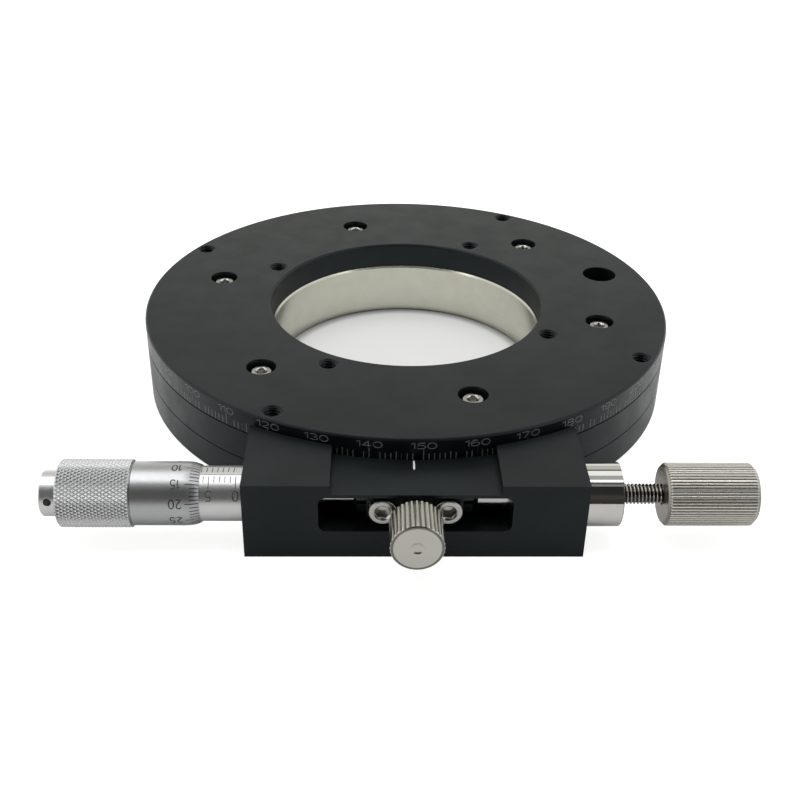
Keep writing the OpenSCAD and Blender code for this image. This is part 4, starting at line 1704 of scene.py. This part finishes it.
@dataclass
class Studio:
    """The floor, the painted room, one soft lamp and the camera.

    The room has bands of light and dark from back to front, white sides and a bright pane overhead on the
    left. The floor glows outside the part, less inside its bore, and not at all between the bore and the
    part's
    edge: that is painted shade on the floor in the bore and under the hub. What mirrors the floor sees more
    of the glow behind the stage than in front of it: that is painted shade in the floor's reflections in
    front.
    """

    floor_size: float = 6.0
    floor_colour: Colour = (0.42, 0.42, 0.415)
    floor_glow: float = 0.86
    # Painted shade in reflections: the floor that metal mirrors glows less in front of the stage than behind
    # it.
    mirrored_in_front: float = 0.16
    mirrored_behind: float = 0.85
    mirrored_turn: tuple[float, float] = (-60.0, -10.0)
    # Painted shade: the bore's floor glows less than the open floor, and not at all from bore_edge to
    # part_edge.
    bore_glow: float = 0.33
    bore_edge: tuple[float, float] = (28.0, 30.7)
    part_edge: tuple[float, float] = (50.0, 56.0)
    white: Colour = (1.0, 1.0, 0.995)
    side_level: float = 0.95
    front_width: float = 0.5
    side_blend: float = 0.15
    window_across: tuple[float, float, float, float] = (-0.60, -0.45, -0.22, -0.06)
    window_along: tuple[float, float, float, float] = (-0.20, -0.05, 0.30, 0.50)
    window_level: float = 2.6
    room_peak: float = 3.2
    lamp_place: tuple[float, float, float] = (0.05, 0.15, 0.9)
    lamp_size: float = 0.7
    lamp_watts: float = 4.0
    eye: tuple[float, float, float] = (-0.00892916, -0.24000569, 0.13718782)
    gaze: tuple[float, float, float] = (1.90312725, 31.39358348, 1.22193643)
    lens: float = 51.2254
    bands: Sequence[tuple[float, Colour]] = (
        (-1.0, (0.03, 0.028, 0.026)),
        (-0.9, (0.06, 0.055, 0.05)),
        (-0.78, (0.026, 0.026, 0.026)),
        (-0.46, (0.026, 0.026, 0.026)),
        (-0.445, (0.27, 0.27, 0.26)),
        (-0.35, (0.27, 0.27, 0.26)),
        (-0.335, (0.11, 0.11, 0.11)),
        (-0.20, (0.11, 0.11, 0.11)),
        (-0.185, (3.2, 3.2, 3.2)),
        (-0.075, (3.2, 3.2, 3.2)),
        (-0.06, (0.43, 0.43, 0.42)),
        (0.235, (0.43, 0.43, 0.42)),
        (0.25, (1.05, 1.05, 1.04)),
        (0.57, (1.05, 1.05, 1.04)),
        (0.585, (0.08, 0.08, 0.08)),
        (0.66, (0.08, 0.08, 0.08)),
        (0.68, (0.60, 0.60, 0.55)),
        (0.86, (0.54, 0.53, 0.49)),
        (0.94, (0.86, 0.85, 0.80)),
        (1.0, (0.95, 0.94, 0.88)),
    )

    def floor(self) -> None:
        """Lays the floor, which keeps shadows and glows outside the part and, dimmer as painted shade, inside
        the bore.
        """
        bpy.ops.object.select_all(action="DESELECT")
        bpy.ops.mesh.primitive_plane_add(size=self.floor_size, location=(0, 0, 0))
        floor = named_last("floor")
        graph = Graph("floor_paper")
        path = graph.add("LightPath")
        flat = graph.add("Mapping", Vector=graph.place, Scale=(1, 1, 0))
        reach = graph.add("VectorMath", {"operation": "LENGTH"})
        graph.plug(reach, 0, flat.outputs[0])
        radius = reach.outputs["Value"]
        bore_edge, part_edge = (tuple(r * MM for r in edge) for edge in (self.bore_edge, self.part_edge))
        # Painted shade: lower glow inside the bore, none under the hub and the part.
        inside = graph.span(radius, bore_edge, (self.bore_glow, 0))
        outside = graph.span(radius, part_edge, (0, self.floor_glow))
        # Painted shade in reflections: glossy rays see less floor glow in front of the stage.
        along = graph.add("SeparateXYZ", Vector=graph.place).outputs[1]
        turn = tuple(y * MM for y in self.mirrored_turn)
        mirrored = graph.span(along, turn, (self.mirrored_in_front, self.mirrored_behind))
        shown = graph.sum(
            graph.multiply(path.outputs["Is Camera Ray"], graph.sum(inside, outside)),
            graph.multiply(
                path.outputs["Is Glossy Ray"], graph.sum(inside, graph.multiply(outside, mirrored))
            ),
        )
        paper = graph.blend(graph.noise(40, 3), self.floor_colour, tuple(0.99 * c for c in self.floor_colour))
        graph.surface(
            Base_Color=paper,
            Roughness=0.9,
            Specular_IOR_Level=0.1,
            Emission_Color=self.white,
            Emission_Strength=shown,
        )
        floor.data.materials.append(graph.material)

    def surroundings(self) -> None:
        """Paints the room by direction: bands from back to front, white sides and an overhead pane."""
        world = bpy.data.worlds.new("studio")
        bpy.context.scene.world = world
        world.use_nodes = True
        graph = Graph("scratch")
        bpy.data.materials.remove(graph.material)
        tree = world.node_tree
        graph.tree = tree
        tree.nodes.clear()
        view = graph.add("TexCoord").outputs["Generated"]
        parts = graph.add("SeparateXYZ", Vector=view)
        ahead = graph.add("MapRange", Value=parts.outputs[1], From_Min=-1.0, From_Max=1.0)
        bands = graph.add("ValToRGB", Fac=ahead.outputs[0])
        stops = bands.color_ramp.elements
        for y, shade in self.bands:
            at_end = abs(y) == 1
            stop = (stops[0] if y < 0 else stops[-1]) if at_end else stops.new((y + 1) / 2)
            stop.color = (*(c / self.room_peak for c in shade), 1)
        aside = graph.add("Math", {"operation": "ABSOLUTE"})
        graph.plug(aside, 0, parts.outputs[0])
        share = graph.span(aside.outputs[0], (self.front_width, self.front_width + self.side_blend), (0, 1))
        side = tuple(self.side_level / self.room_peak * c for c in self.white)
        room = graph.blend(share, bands.outputs[0], side)
        across, along = parts.outputs[0], parts.outputs[1]
        wide = graph.between(across, self.window_across)
        deep = graph.between(along, self.window_along)
        pane = tuple(self.window_level / self.room_peak * c for c in self.white)
        room = graph.blend(graph.multiply(wide, deep), room, pane)
        seen = graph.add("LightPath").outputs["Is Camera Ray"]
        level = graph.add("MapRange", Value=seen)
        graph.plug(level, "To Min", self.room_peak)
        graph.plug(level, "To Max", 1.0)
        shade = graph.blend(seen, room, self.white)
        glow = graph.add("Background", Color=shade, Strength=level.outputs[0])
        output = tree.nodes.new("ShaderNodeOutputWorld")
        tree.links.new(glow.outputs[0], output.inputs[0])

    def lamp(
        self, name: str, place: Sequence[float], aim: Sequence[float], size: float, watts: float
    ) -> None:
        """Hangs a square soft lamp.

        Args:
            name: the lamp's name.
            place: where it hangs, in metres.
            aim: the point that it faces.
            size: its width in metres.
            watts: its power.
        """
        bpy.ops.object.select_all(action="DESELECT")
        bpy.ops.object.light_add(type="AREA", location=place)
        lamp = bpy.context.active_object
        lamp.name = name
        lamp.data.shape = "SQUARE"
        lamp.data.size = size
        lamp.data.energy = watts
        lamp.visible_glossy = False
        lamp.rotation_euler = (Vector(aim) - Vector(place)).to_track_quat("-Z", "Y").to_euler()

    def camera(self) -> None:
        """Puts the camera above the front, a little to the left, looking down at the stage."""
        place = Vector(self.eye)
        yaw, pitch, roll = (math.radians(a) for a in self.gaze)
        ahead = Vector(
            (math.sin(yaw) * math.cos(pitch), math.cos(yaw) * math.cos(pitch), -math.sin(pitch))
        )
        level = Vector((math.cos(yaw), -math.sin(yaw), 0))
        rise = level.cross(ahead)
        right = level * math.cos(roll) + rise * math.sin(roll)
        above = rise * math.cos(roll) - level * math.sin(roll)
        data = bpy.data.cameras.new("camera")
        data.sensor_width = 36.0
        data.lens = self.lens
        data.clip_start = 0.01
        camera = bpy.data.objects.new("camera", data)
        bpy.context.scene.collection.objects.link(camera)
        turn = Matrix((right, above, -ahead)).transposed().to_4x4()
        camera.matrix_world = Matrix.Translation(place) @ turn
        bpy.context.scene.camera = camera

    def build(self) -> None:
        """Sets up the floor, the light and the camera."""
        self.floor()
        self.surroundings()
        self.lamp("lamp_overhead", self.lamp_place, (0, 0, 0), self.lamp_size, self.lamp_watts)
        self.camera()
        bpy.context.scene.view_settings.view_transform = "Standard"
        LOG.info("studio ready")


def main() -> None:
    """Builds the sub-assemblies in order, then the studio."""
    logging.basicConfig(level=logging.INFO, format="%(name)s: %(message)s", stream=sys.stdout)
    finish_carried_nodes()
    Table().build()
    Frame().build()
    Thimble().build()
    LockScrew().build()
    ClampKnob().build()
    Studio().build()


if __name__ == "__main__":
    main()
